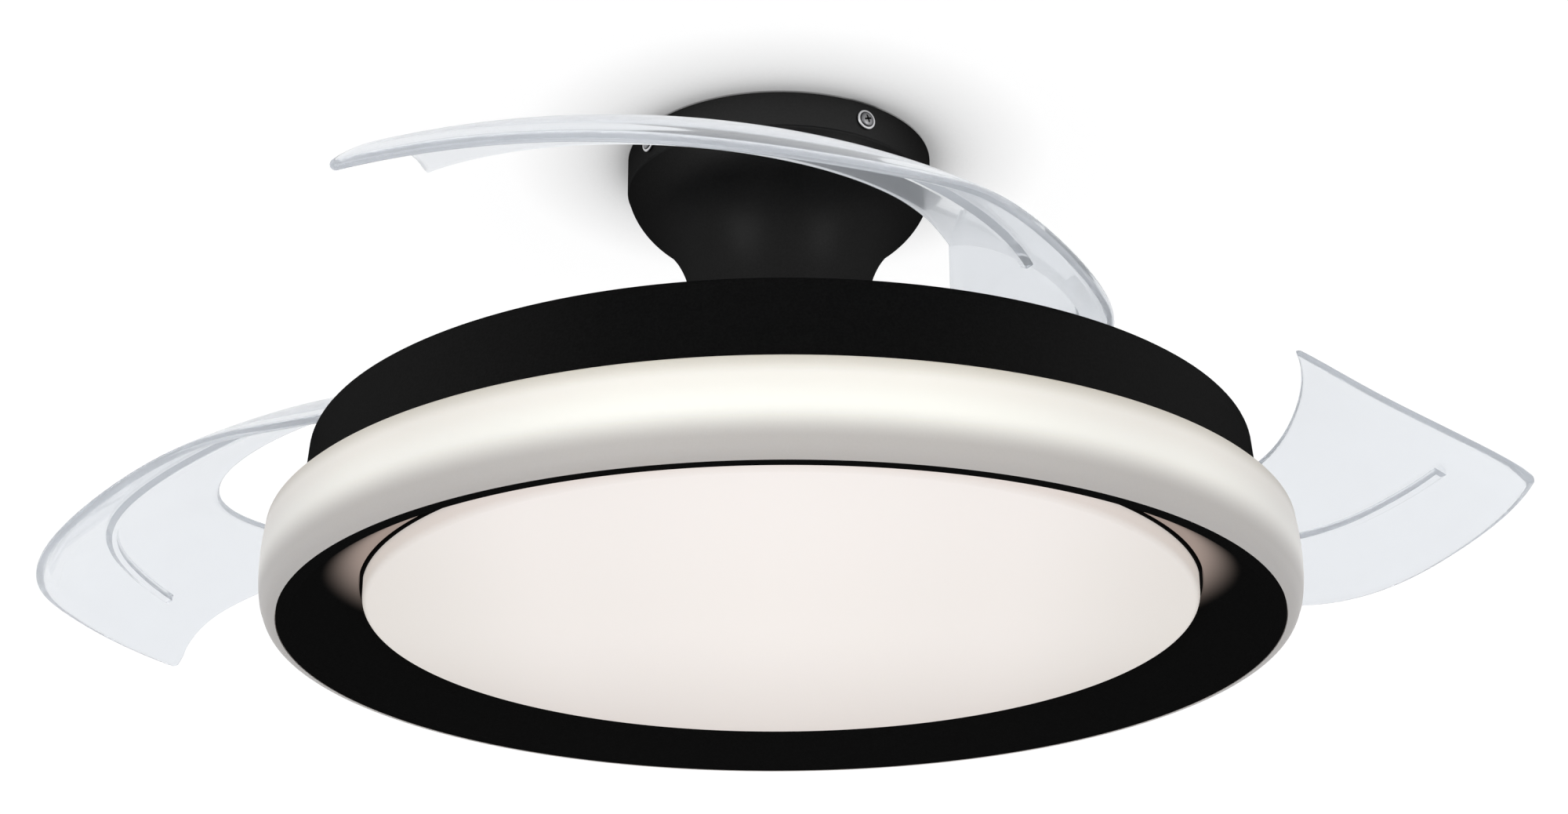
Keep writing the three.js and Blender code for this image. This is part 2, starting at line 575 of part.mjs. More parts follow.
// A smooth line through evenly spaced values, straight at its ends (natural cubic spline).
function smooth(values) {
  const last = values.length - 1;
  const bend = new Array(last + 1).fill(0);
  const carry = new Array(last + 1).fill(0);
  for (let i = 1; i < last; i += 1) {
    const pivot = 4 - carry[i - 1];
    const pull = 6 * (values[i + 1] - 2 * values[i] + values[i - 1]);
    carry[i] = 1 / pivot;
    bend[i] = (pull - bend[i - 1]) / pivot;
  }
  for (let i = last - 1; i > 0; i -= 1) bend[i] -= carry[i] * bend[i + 1];
  return (share) => {
    const at = Math.min(Math.max(share, 0), 1) * last;
    const i = Math.min(Math.floor(at), last - 1);
    const u = at - i;
    const w = 1 - u;
    return values[i] * w + values[i + 1] * u + ((w ** 3 - w) * bend[i] + (u ** 3 - u) * bend[i + 1]) / 6;
  };
}

const outerR = smooth(OUTER_R);
const outerH = smooth(OUTER_H);
const innerR = smooth(INNER_R);
const innerH = smooth(INNER_H);
const ribAcross = smooth(RIB_ACROSS);

function cornerRound(t, reach, degrees) {
  const into = Math.max(0, 1 - t / reach);
  return degrees * (1 - Math.sqrt(1 - into * into));
}

// Top face of the folded blade: s runs root to tip, t outer to inner edge.
function bladeTop(s, t) {
  const wave = TIP_WAVES.reduce((sum, height, i) => sum + height * Math.sin((i + 1) * Math.PI * t), 0);
  const rounding = cornerRound(t, 0.05, 1) + cornerRound(1 - t, 0.03, 0.5);
  const tip = TIP_OUTER_AZ + (TIP_INNER_AZ - TIP_OUTER_AZ) * t + wave - rounding;
  const azimuth = -(ROOT_AZ + (tip - ROOT_AZ) * s) * DEG;
  const r = outerR(s) * (1 - t) + innerR(s) * t;
  const camber = CAMBER[0] + (CAMBER[1] - CAMBER[0]) * s;
  const h = outerH(s) + (innerH(s) - outerH(s)) * (1 - (1 - t) ** camber)
    + TIP_LIFT * Math.sin(Math.PI * t) * s * s;
  return new THREE.Vector3(r * Math.cos(azimuth), r * Math.sin(azimuth), h - DROP);
}

function bladeNormal(s, t) {
  const step = 1e-3;
  const at = (ds, dt) => bladeTop(Math.min(Math.max(s + ds, 0), 1), Math.min(Math.max(t + dt, 0), 1));
  const along = at(step, 0).sub(at(-step, 0));
  const across = at(0, step).sub(at(0, -step));
  const normal = along.cross(across).normalize();
  return normal.z < 0 ? normal.negate() : normal;
}

const acrossSteps = [0, 0.03, 0.09, 0.22, 0.42, 0.7, 0.94, 1];

function sheetThickness(t) {
  const beadEnd = 0.08;
  if (t >= beadEnd) return SHEET_T;
  const bulge = Math.sin(Math.PI * (0.25 + 0.75 * t / beadEnd));
  return SHEET_T + (BEAD_T - SHEET_T) * Math.max(0, bulge);
}

// Closed body between the blade's top face and a lower face given by `under`.
function bladeBody(under) {
  const rows = ALONG + 1;
  const columns = acrossSteps.length;
  const positions = [];
  for (const side of [0, 1]) {
    for (let i = 0; i < rows; i += 1) {
      for (const t of acrossSteps) {
        const s = i / ALONG;
        const top = bladeTop(s, t);
        const point = side ? under(top, s, t) : top;
        positions.push(point.x, point.y, point.z);
      }
    }
  }
  const faces = [];
  const quad = (a, b, c, d) => faces.push(a, b, c, a, c, d);
  const id = (side, i, j) => side * rows * columns + i * columns + j;
  for (let i = 0; i < ALONG; i += 1) {
    for (let j = 0; j < columns - 1; j += 1) {
      quad(id(0, i, j), id(0, i + 1, j), id(0, i + 1, j + 1), id(0, i, j + 1));
      quad(id(1, i, j), id(1, i, j + 1), id(1, i + 1, j + 1), id(1, i + 1, j));
    }
    const inner = columns - 1;
    quad(id(0, i, 0), id(1, i, 0), id(1, i + 1, 0), id(0, i + 1, 0));
    quad(id(0, i, inner), id(0, i + 1, inner), id(1, i + 1, inner), id(1, i, inner));
  }
  for (let j = 0; j < columns - 1; j += 1) {
    quad(id(0, 0, j), id(0, 0, j + 1), id(1, 0, j + 1), id(1, 0, j));
    quad(id(0, ALONG, j), id(1, ALONG, j), id(1, ALONG, j + 1), id(0, ALONG, j + 1));
  }
  const geometry = new THREE.BufferGeometry();
  geometry.setAttribute('position', new THREE.Float32BufferAttribute(positions, 3));
  geometry.setIndex(faces);
  return closed(geometry);
}

function sectionSweep(sections) {
  const sides = sections[0].length;
  const positions = sections.flat().flatMap((point) => [point.x, point.y, point.z]);
  const faces = [];
  for (let i = 0; i < sections.length - 1; i += 1) {
    for (let k = 0; k < sides; k += 1) {
      const next = (k + 1) % sides;
      const [a, b] = [i * sides + k, i * sides + next];
      faces.push(a, b, b + sides, a, b + sides, a + sides);
    }
  }
  const end = (sections.length - 1) * sides;
  for (let k = 1; k < sides - 1; k += 1) {
    faces.push(0, k + 1, k);
    faces.push(end, end + k, end + k + 1);
  }
  const geometry = new THREE.BufferGeometry();
  geometry.setAttribute('position', new THREE.Float32BufferAttribute(positions, 3));
  geometry.setIndex(faces);
  return closed(geometry);
}

// Bevelled rib that stands down from the sheet's lower face.
function bladeRib() {
  const steps = 14;
  const stations = Array.from({ length: steps + 1 }, (_, i) => i / steps);
  const path = (u) => {
    const s = RIB_FROM + (RIB_TO - RIB_FROM) * u;
    const t = ribAcross(u);
    const normal = bladeNormal(s, t);
    return { centre: bladeTop(s, t).addScaledVector(normal, -SHEET_T), normal };
  };
  return sectionSweep(stations.map((u) => {
    const { centre, normal } = path(u);
    const ahead = path(Math.min(u + 0.01, 1)).centre.sub(path(Math.max(u - 0.01, 0)).centre);
    const aside = normal.clone().cross(ahead).normalize();
    const at = (sideways, down) => centre.clone().addScaledVector(aside, sideways)
      .addScaledVector(normal, -down);
    return [at(-RIB_W / 2, -RIB_ROOT), at(-RIB_W / 2, 0.2), at(-RIB_W / 5, RIB_H),
      at(RIB_W / 5, RIB_H), at(RIB_W / 2, 0.2), at(RIB_W / 2, -RIB_ROOT)];
  }));
}

// Plan of the dropped root, folded blade, as a smooth loop round the pivot.
function rootOutline(inset) {
  const corners = [[-58, -10], [-50, -36], [-32, -41], [-6, -33], [9, -14], [13, 6], [9, 26],
    [-4, 37], [-30, 37], [-54, 20]];
  const loop = new THREE.CatmullRomCurve3(
    corners.map(([x, y]) => new THREE.Vector3(PIVOT_R + x, y, 0)), true, 'centripetal');
  const steps = 28;
  const shape = new THREE.Shape();
  for (let i = 0; i < steps; i += 1) {
    const point = loop.getPoint(i / steps);
    const heading = loop.getTangent(i / steps);
    const x = point.x - heading.y * inset;
    const y = point.y + heading.x * inset;
    if (i) shape.lineTo(x, y);
    else shape.moveTo(x, y);
  }
  return shape;
}

function prism(shape, z0, z1) {
  return closed(new THREE.ExtrudeGeometry(shape, { depth: z1 - z0, bevelEnabled: false }))
    .translate(0, 0, z0);
}

function foldedBlade() {
  const wall = 2.6;
  const high = ROOT_TOP_Z + 60;
  const sheet = bladeBody((top, s, t) =>
    top.clone().addScaledVector(bladeNormal(s, t), -sheetThickness(t)));
  const column = bladeBody((top) => new THREE.Vector3(top.x, top.y, ROOT_FOOT_Z));
  const cup = solid(prism(rootOutline(0), ROOT_FOOT_Z, high))
    .subtract(solid(prism(rootOutline(wall), ROOT_TOP_Z, high + 1)))
    .intersect(solid(column));
  const skin = solid(sheet).add(solid(bladeRib()))
    .subtract(solid(prism(rootOutline(wall), ROOT_TOP_Z, high + 1)));
  const pegAzimuth = (PEG_CLOSED - FOLD_SLACK) * DEG;
  const peg = rod(PEG_R, CARRIER_FOOT_Z - 1, ROOT_FOOT_Z + 1).translate(
    PIVOT_R + PEG_AT * Math.cos(pegAzimuth), PEG_AT * Math.sin(pegAzimuth), 0);
  const boss = rod(BOSS_R, ROOT_FOOT_Z, BOSS_TOP_Z, 20).translate(PIVOT_R, 0, 0);
  const bore = drill(BOSS_BORE, ROOT_FOOT_Z - 1, BOSS_TOP_Z + 1).translate(PIVOT_R, 0, 0);
  return geometryOf(skin.add(cup).add(solid(peg)).add(solid(boss)).subtract(solid(bore)));
}

// Turns a folded-blade piece out to where the numbered blade stands.
function swung(geometry, index) {
  return atPivot(geometry.clone().translate(-PIVOT_R, 0, 0)
    .rotateZ((BLADE_SWEEPS[index] + FOLD_SLACK) * DEG), index);
}

function pivotBush() {
  const flange = BUSH_R + 3.4;
  return revolve([[PIN_R + GAP, CARRIER_Z + GAP], [flange, CARRIER_Z + GAP], [flange, ROOT_FOOT_Z - GAP],
    [BUSH_R, ROOT_FOOT_Z - GAP], [BUSH_R, BOSS_TOP_Z], [PIN_R + GAP, BOSS_TOP_Z]], SEG_SMALL)
    .translate(PIVOT_R, 0, 0);
}

function pivotPin() {
  const head = CARRIER_FOOT_Z - GAP;
  return revolve([[0, head - 2], [5, head - 2], [6, head - 1], [6, head], [PIN_R, head],
    [PIN_R, CAP_Z + 1.2], [PIN_R - 0.5, CAP_Z + 1.7], [0, CAP_Z + 1.7]], SEG_SMALL);
}

function pivotCap() {
  const radius = BOSS_R + 0.2;
  return revolve([[0, CAP_Z + 1.7 + GAP], [PIN_R + GAP, CAP_Z + 1.7 + GAP], [PIN_R + GAP, CAP_Z],
    [radius, CAP_Z], [radius, CAP_Z + 1.2], [radius - 1.4, CAP_Z + CAP_H], [0, CAP_Z + CAP_H]], SEG_SMALL);
}

// Torsion spring round the boss. One tube with a straight leg at each end.
const SPRING_R = BOSS_R + 0.5 + SPRING_WIRE;

function springLine() {
  const foot = ROOT_TOP_Z + GAP + SPRING_WIRE;
  const count = Math.round(SPRING_TURNS * SPRING_STEPS);
  const points = Array.from({ length: count + 1 }, (_, i) => {
    const angle = Math.PI + (2 * Math.PI * i) / SPRING_STEPS;
    return new THREE.Vector3(SPRING_R * Math.cos(angle), SPRING_R * Math.sin(angle),
      foot + (SPRING_PITCH * i) / SPRING_STEPS);
  });
  const leg = (end, next) => end.clone().sub(next).setZ(0).normalize()
    .multiplyScalar(SPRING_LEG).add(end);
  return [leg(points[0], points[1]), ...points, leg(points[count], points[count - 1])];
}

function returnSpring() {
  const line = springLine();
  const sides = 5;
  const up = new THREE.Vector3(0, 0, 1);
  return sectionSweep(line.map((point, i) => {
    const before = line[Math.max(i - 1, 0)];
    const after = line[Math.min(i + 1, line.length - 1)];
    const heading = after.clone().sub(before).normalize();
    const aside = heading.clone().cross(up).normalize();
    const over = aside.clone().cross(heading).normalize();
    return Array.from({ length: sides }, (_, k) => {
      const angle = (2 * Math.PI * k) / sides;
      return point.clone().addScaledVector(aside, SPRING_WIRE * Math.cos(angle))
        .addScaledVector(over, SPRING_WIRE * Math.sin(angle));
    });
  })).translate(PIVOT_R, 0, 0);
}

// Least gap between turns, from points along the line that are not neighbours on it.
function springSelfGap() {
  const line = springLine();
  let least = Infinity;
  const dense = [];
  for (let i = 0; i < line.length - 1; i += 1) {
    for (let k = 0; k < 6; k += 1) {
      dense.push({ at: i + k / 6, point: line[i].clone().lerp(line[i + 1], k / 6) });
    }
  }
  dense.forEach((one) => dense.forEach((other) => {
    if (other.at - one.at < SPRING_STEPS / 2) return;
    least = Math.min(least, one.point.distanceTo(other.point));
  }));
  return least - 2 * SPRING_WIRE;
}

// ---------------------------------------------------------------- lamp

const DISH_Z = HOUSING_TOP_Z - HOUSING_DISH;
const UNDER_DISH_Z = DISH_Z - SHEET;
const SHAFT_FOOT_Z = UNDER_DISH_Z - NUT_H - 6;
const CHASSIS_Z = RIM_Z + 42;
const POST_AT = HOUSING_R * 0.65;

function lampHousing() {
  const bore = THREAD_R + GAP;
  const inDish = HOUSING_R - HOUSING_EDGE;
  const foot = RING_TOP_Z - 4;
  const footR = HOUSING_R + HOUSING_FLARE;
  const corner = 2.5;
  const shell = revolve([[bore, DISH_Z], [inDish - 2, DISH_Z], [inDish, DISH_Z + 1],
    [inDish + 2.5, HOUSING_TOP_Z], [HOUSING_R - corner, HOUSING_TOP_Z],
    [HOUSING_R - corner * 0.3, HOUSING_TOP_Z - corner * 0.3], [HOUSING_R, HOUSING_TOP_Z - corner],
    [footR, RING_TOP_Z + 3], [footR, foot], [footR - SHEET, foot], [footR - SHEET, RING_TOP_Z + 3],
    [HOUSING_R - SHEET, HOUSING_TOP_Z - corner - 0.4], [HOUSING_R - corner - 0.4, HOUSING_TOP_Z - SHEET],
    [inDish + 4, HOUSING_TOP_Z - SHEET], [inDish + 1.2, UNDER_DISH_Z + 0.4], [inDish - 1, UNDER_DISH_Z],
    [bore, UNDER_DISH_Z]]);
  const holes = around(POSTS, POST_AZ, (azimuth) =>
    turned(drill(M4 + GAP, UNDER_DISH_Z - 1, DISH_Z + 1).translate(POST_AT, 0, 0), azimuth));
  const vents = around(6, 15, (azimuth) =>
    turned(box(16, 3, 4, HOUSING_R * 0.41, 0, DISH_Z - 1), azimuth));
  return cut(shell, ...holes, ...vents);
}

function shaftLockNut() {
  const top = UNDER_DISH_Z - GAP;
  const nut = new THREE.CylinderGeometry(12, 12, NUT_H, 6).rotateX(Math.PI / 2)
    .translate(0, 0, top - NUT_H / 2);
  const flange = rod(14, top - 1.5, top, 24);
  return cut(union(nut, flange), drill(THREAD_R + GAP, top - NUT_H - 1, top + 1, SEG_MID));
}

function chassisPlate() {
  const rimR = HOUSING_R + HOUSING_FLARE - SHEET - GAP;
  const top = CHASSIS_Z;
  const foot = top - CHASSIS_T;
  const plate = revolve([[14, foot], [14, top], [rimR - 3, top], [rimR - CHASSIS_T, top + 1.5],
    [rimR - CHASSIS_T, top + 5], [rimR, top + 5], [rimR, top + 0.5], [rimR - 1, foot + 0.3],
    [rimR - 2, foot]]);
  const posts = around(POSTS, POST_AZ, (azimuth) =>
    turned(rod(POST_R, foot + 0.4, UNDER_DISH_Z - GAP).translate(POST_AT, 0, 0), azimuth));
  const threads = around(POSTS, POST_AZ, (azimuth) =>
    turned(drill(M4 + GAP, UNDER_DISH_Z - 12, UNDER_DISH_Z + 1).translate(POST_AT, 0, 0), azimuth));
  const cableHole = rod(6, foot - 1, top + 1).translate(0, 60, 0);
  return cut(union(plate, ...posts), ...threads, cableHole);
}

function chassisScrew(azimuth) {
  const seat = DISH_Z + GAP;
  return turned(panHeadScrew(3.4, 1.8, M4, 0, 9).rotateY(-Math.PI / 2)
    .translate(POST_AT, 0, seat), azimuth);
}

function driverBox() {
  const [sx, sy, sz] = [96, 38, 24];
  const across = -HOUSING_R * 0.3;
  const foot = CHASSIS_Z + GAP;
  const body = box(sx, sy, sz, 0, across, foot + sz / 2);
  const flanges = box(sx + 20, 14, 1.6, 0, across, foot + 0.8);
  const lid = box(sx - 12, sy - 10, 1, 0, across, foot + sz + 0.3);
  const glands = [-1, 1].map((side) => box(8, 14, 8, side * (sx / 2 + 3), across, foot + 14));
  const holes = [-1, 1].map((side) => rod(2, foot - 1, foot + 3).translate(side * (sx / 2 + 6), across, 0));
  return cut(union(body, flanges, lid, ...glands), ...holes);
}

function lightBoard(inner, outer, leds, rings) {
  const top = CHASSIS_Z - CHASSIS_T - GAP;
  const boardT = 1.2;
  const chipT = 0.9;
  const disc = tube(inner, outer, top - boardT, top, SEG);
  const chips = rings.flatMap(([radius, count]) => around(count, 0, (azimuth) =>
    turned(box(leds, leds, chipT + 0.2, radius, 0, top - boardT - chipT / 2 + 0.1), azimuth)));
  return union(disc, ...chips);
}

// Opal ring: open towards the lights inside it, bulged outside, rolled under to the rim.
function ringDiffuser() {
  const lip = RIM_R + GAP;
  const inTop = HOUSING_R + HOUSING_FLARE + GAP;
  const outer = [[inTop, RING_TOP_Z], [RING_TOP_R - 1, RING_TOP_Z], [RING_TOP_R + 0.3, RING_TOP_Z - 1.2],
    ...bezier([RING_TOP_R + 0.6, RING_TOP_Z - 4], [RING_R + 0.4, RING_TOP_Z - 14],
      [RING_R + 0.6, RIM_Z + 16], [RING_R - 1.2, RIM_Z + 8], 4),
    ...bezier([RING_R - 1.6, RIM_Z + 7], [RING_R - 3, RIM_Z + 2.6], [RIM_R + 5, RIM_Z + 0.3],
      [lip, RIM_Z], 4)];
  const inner = offsetLine(outer, -RING_WALL);
  inner[0] = [inTop, RING_TOP_Z - RING_WALL];
  inner[1][1] = RING_TOP_Z - RING_WALL;
  inner[inner.length - 1] = [lip, RIM_Z + RING_WALL];
  return revolve([...outer, ...inner.reverse()]);
}

// Black ring between the opal ring and the central light. It slopes up towards the centre.
function funnelRing() {
  const inEdge = DISC_R + 5;
  const wallTop = CHASSIS_Z - CHASSIS_T - GAP;
  const lower = [[RIM_R, RIM_Z], [RIM_R - 2.5, RIM_Z], [RIM_R - 5, RIM_Z + 1.4],
    [DISC_R + 9, RIM_Z + 22], [inEdge, RIM_Z + 25], [inEdge, wallTop]];
  const upper = [[RIM_R, RIM_Z + FUNNEL_T], [RIM_R - 2.8, RIM_Z + FUNNEL_T],
    [RIM_R - 4.4, RIM_Z + 1.4 + FUNNEL_T], [DISC_R + 9.6, RIM_Z + 22 + FUNNEL_T * 0.9],
    [inEdge + FUNNEL_T, RIM_Z + 26], [inEdge + FUNNEL_T, wallTop]];
  return revolve([...lower, ...upper.reverse()]);
}

function discCover() {
  const face = DISC_Z;
  const top = DISC_Z + DISC_DEPTH + 8;
  const inR = DISC_R - DISC_WALL;
  return revolve([[0, face], [DISC_R - 3, face], [DISC_R - 0.8, face + 0.8], [DISC_R, face + 3],
    [DISC_R, top], [inR, top], [inR, face + DISC_WALL + 1.5], [inR - 1.5, face + DISC_WALL],
    [0, face + DISC_WALL]]);
}

function discBezel() {
  const inR = DISC_R + GAP;
  const foot = DISC_Z + 2;
  const top = CHASSIS_Z - CHASSIS_T - GAP;
  const cover = DISC_Z + DISC_DEPTH + 8;
  return revolve([[inR, foot], [inR + 1.4, foot], [inR + 1.4, top], [inR - 8, top], [inR - 8, top - 1.4],
    [inR - 0.2, top - 1.4], [inR, cover + 1]]);
}

// ---------------------------------------------------------------- assembly

const group = new THREE.Group();

function add(name, geometry, material) {
  const body = closed(geometry);
  body.computeVertexNormals();
  const mesh = new THREE.Mesh(body, material.clone());
  mesh.name = name;
  group.add(mesh);
}

add('ceiling_bracket', ceilingBracket(), steel);
add('canopy_cover', canopyCover(), black);
screwAzimuths.forEach((azimuth, i) => add(`canopy_screw_${i + 1}`, canopyScrew(azimuth), steel));
add('hanger_flange', hangerFlange(), steel);
around(FLANGE_BOLTS, 0, (azimuth, i) => add(`flange_bolt_${i + 1}`, turned(
  hexBolt(M6, 5.2, 4, FLANGE_FOOT_Z - GAP, -FLANGE_FOOT_Z - 0.7 + GAP).translate(FLANGE_BOLT_R, 0, 0),
  azimuth), steel));
add('receiver_box', receiverBox(), plastic);
add('fixed_shaft', fixedShaft(), steel);
add('shaft_lock_pin', rodAlongX(LOCK_PIN_R, -FLANGE_BOSS_R - 1, FLANGE_BOSS_R + 1, LOCK_PIN_Z), steel);

add('motor_cover_upper', rotorUpperCover(), black);
add('motor_cover_lower', rotorLowerCover(), black);
add('magnet_ring', tube(MAGNET_IN, MAGNET_IN + MAGNET_T, motorMid - STATOR_H / 2,
  motorMid + STATOR_H / 2, SEG_MID), rubber);
add('stator_core', statorCore(), steel);
add('stator_winding', statorWinding(), copper);
add('bearing_upper', ballBearing(upperBearingTop - BEARING_W), steel);
add('bearing_lower', ballBearing(lowerBearingFoot), steel);

add('blade_carrier', bladeCarrier(), steel);
around(CARRIER_SCREWS, 0, (azimuth, i) => add(`carrier_screw_${i + 1}`, carrierScrew(azimuth), steel));
['a', 'b', 'c'].forEach((letter, i) => {
  add(`blade_${letter}`, swung(foldedBlade(), i), clear);
  add(`pivot_bush_${letter}`, swung(pivotBush(), i), bronze);
  add(`return_spring_${letter}`, swung(returnSpring(), i), steel);
  add(`pivot_pin_${letter}`, atPivot(pivotPin(), i), steel);
  add(`pivot_cap_${letter}`, atPivot(pivotCap(), i), steel);
  add(`closed_stop_${letter}`, atPivot(stopBumper(PEG_CLOSED - BUMPER_STEP), i), rubber);
  add(`open_stop_${letter}`, atPivot(stopBumper(PEG_CLOSED + BLADE_TURN + BUMPER_STEP), i), rubber);
});

add('lamp_housing', lampHousing(), black);
add('shaft_lock_nut', shaftLockNut(), steel);
add('lamp_chassis', chassisPlate(), steel);
around(POSTS, POST_AZ, (azimuth, i) => add(`chassis_screw_${i + 1}`, chassisScrew(azimuth), steel));
add('light_driver', driverBox(), plastic);
add('main_light_board', lightBoard(10, DISC_R - 12, 4, [[DISC_R * 0.45, 8], [DISC_R * 0.77, 14]]), board);
add('ring_light_board', lightBoard(DISC_R + 10, DISC_R + 24, 4, [[DISC_R + 17, 15]]), board);
add('ring_diffuser', ringDiffuser(), opal);
add('funnel_ring', funnelRing(), black);
add('disc_cover', discCover(), opal);
add('disc_bezel', discBezel(), black);

console.log(`least gap between the spring's turns ${springSelfGap().toFixed(2)} mm`);

export default group;
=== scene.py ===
"""Looks for the retractable blade ceiling fan.

Smooth skins over the CAD solids, materials, stage, light and camera.
"""

import math

import bmesh
import bpy
import numpy as np
from mathutils import Matrix, Vector


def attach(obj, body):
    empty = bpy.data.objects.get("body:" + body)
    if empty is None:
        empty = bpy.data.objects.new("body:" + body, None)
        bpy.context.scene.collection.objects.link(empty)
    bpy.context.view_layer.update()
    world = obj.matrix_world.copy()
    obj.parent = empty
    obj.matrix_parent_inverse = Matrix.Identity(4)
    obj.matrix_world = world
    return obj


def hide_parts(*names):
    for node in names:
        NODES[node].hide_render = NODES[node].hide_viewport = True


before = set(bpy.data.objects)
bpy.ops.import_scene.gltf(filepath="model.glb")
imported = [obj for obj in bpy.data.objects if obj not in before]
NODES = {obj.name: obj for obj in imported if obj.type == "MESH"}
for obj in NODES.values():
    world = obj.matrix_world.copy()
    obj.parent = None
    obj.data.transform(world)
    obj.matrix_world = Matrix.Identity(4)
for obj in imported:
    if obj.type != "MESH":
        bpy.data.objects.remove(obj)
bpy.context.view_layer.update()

MM = 0.001

# ---------------------------------------------------------------- sizes of the round pieces (mm)

DROP = 260.0                  # ceiling to the lamp's rim
RIM_Z = -DROP
RING_TOP_Z = RIM_Z + 44
HOUSING_TOP_Z = RIM_Z + 88
INNER_TOP_Z = RIM_Z + 40.2    # top of the inner ring's wall and of the bezel

SHEET = 1.6                   # spun steel of the canopy and the housing
CANOPY_R = 78.5
CANOPY_EDGE_Z = -0.5
CANOPY_BAND_Z = -18.5
CANOPY_FOOT_Z = -104.0
CANOPY_FOOT_R = 44.0
HOUSING_R = 232.0             # at the rounded top edge
HOUSING_EDGE_R = 3.5
HOUSING_FOOT_R = 235.0
SHAFT_HOLE_R = 7.2

RING_WALL = 2.0
FUNNEL_R = 243.0              # outer edge of the flat lip
FUNNEL_WALL = 1.4
FUNNEL_INNER_R = 205.0
DISC_EDGE_R = 3.0
DISC_R = 202.8
DISC_WALL = 2.0
DISC_FACE_Z = RIM_Z + 11
BEZEL_FOOT_Z = RIM_Z + 19
BEZEL_INNER_R, BEZEL_OUTER_R, BEZEL_FLANGE_R = 203.1, 204.4, 194.3

SCREW_AZ = [33.5 + 90 * k for k in range(4)]
SCREW_Z = -9.5
SCREW_HOLE_R = 2.3
SCREW_SEAT_R = 78.8
SCREW_DOME_R, SCREW_WASHER_R, SCREW_WASHER_T = 3.7, 5.2, 0.9
SCREW_SLOT = (4.2, 0.9, 2.2)
SCREW_SLOT_Z = 2.25

# ---------------------------------------------------------------- sizes of the blades (mm)

PIVOT_R = HOUSING_R - 45.5
PIVOT_AZ = -47.8
BLADE_AZ = (0.0, -120.0, 120.0)
BLADE_SWEEPS = (42.6, 64.9, 35.1)
FOLD_SLACK = 3.0

# The sheet in its folded place: s runs from root to tip, t from the outer edge to the inner one.
SHEET_T = 3.0
BEAD_T = 4.6
BEAD_END = 0.08
BLADE_LENGTH, BLADE_WIDTH = 430.0, 85.0
END_ROUND, SIDE_ROUND = 1.5, 1.6
ROOT_AZ = -11.0
TIP_OUTER_AZ = 114.4
TIP_INNER_AZ = 127.9
TIP_WAVES = (-6.1, 0.0, -0.3)
TIP_LIFT = -16.3
CAMBER = (1.7, 2.9)
OUTER_R = [HOUSING_R + out for out in (-22.7, -18.7, -20.3, 12.3, 19.1, 19.8)]
OUTER_H = (106.9, 96.6, 101.2, 77.4, 76.6, 77.4)
INNER_R = [HOUSING_R + out for out in (-73.9, -88.9, -80.5, -76.1, -87.2, -92.8)]
INNER_H = (122.3, 131.6, 125.9, 123.7, 130.9, 136.9)

RIB_FROM, RIB_TO = 0.19, 0.91
RIB_ACROSS = (0.5, 0.49, 0.38, 0.29)
RIB_ROOT = 2.2
RIB_W, RIB_H = 7.0, 3.0

CARRIER_Z = -167.3
CARRIER_FOOT_Z = CARRIER_Z - 2.5
ROOT_FOOT_Z = CARRIER_Z + 2.2
ROOT_TOP_Z = ROOT_FOOT_Z + 3.0
ROOT_WALL = 2.6
ROOT_LOOP = ((-58, -10), (-50, -36), (-32, -41), (-6, -33), (9, -14),
             (13, 6), (9, 26), (-4, 37), (-30, 37), (-54, 20))
BOSS_TOP_Z = ROOT_TOP_Z + 8.6
BOSS_R, BORE_R = 7.2, 5.3
PEG_R, PEG_AT, PEG_CLOSED = 2.6, 18.0, 128.0


# ---------------------------------------------------------------- mesh helpers

def make_object(name, verts, faces, smooth_angle=35.0):
    """A mesh object from points in millimetres."""
    mesh = bpy.data.meshes.new(name)
    mesh.from_pydata([tuple(float(c) * MM for c in v) for v in verts], [], faces)
    mesh.validate()
    mesh.update()
    obj = bpy.data.objects.new(name, mesh)
    bpy.context.scene.collection.objects.link(obj)
    smooth_by_angle(obj, smooth_angle)
    return obj


def smooth_by_angle(obj, degrees):
    for polygon in obj.data.polygons:
        polygon.use_smooth = True
    obj.data.set_sharp_from_angle(angle=math.radians(degrees))


def outline_area(outline):
    """Twice the signed area of a closed outline."""
    return sum(a[0] * b[1] - b[0] * a[1] for a, b in zip(outline, outline[1:] + outline[:1]))


def lathe(name, profile, segments=192, smooth_angle=35.0):
    """A closed profile of (radius, height) turned round Z; points on the axis become poles."""
    verts, rings = [], []
    for r, z in profile:
        if r < 1e-6:
            rings.append([len(verts)])
            verts.append((0.0, 0.0, z))
            continue
        start = len(verts)
        for i in range(segments):
            a = 2 * math.pi * i / segments
            verts.append((r * math.cos(a), r * math.sin(a), z))
        rings.append(list(range(start, start + segments)))
    faces = []
    closed = not (profile[0][0] < 1e-6 and profile[-1][0] < 1e-6)
    count = len(rings) if closed else len(rings) - 1
    for k in range(count):
        a, b = rings[k], rings[(k + 1) % len(rings)]
        for i in range(segments):
            j = (i + 1) % segments
            if len(a) == 1:
                faces.append((a[0], b[j], b[i]))
            elif len(b) == 1:
                faces.append((a[i], a[j], b[0]))
            else:
                faces.append((a[i], a[j], b[j], b[i]))
    if outline_area(profile) < 0:
        faces = [tuple(reversed(f)) for f in faces]
    return make_object(name, verts, faces, smooth_angle)


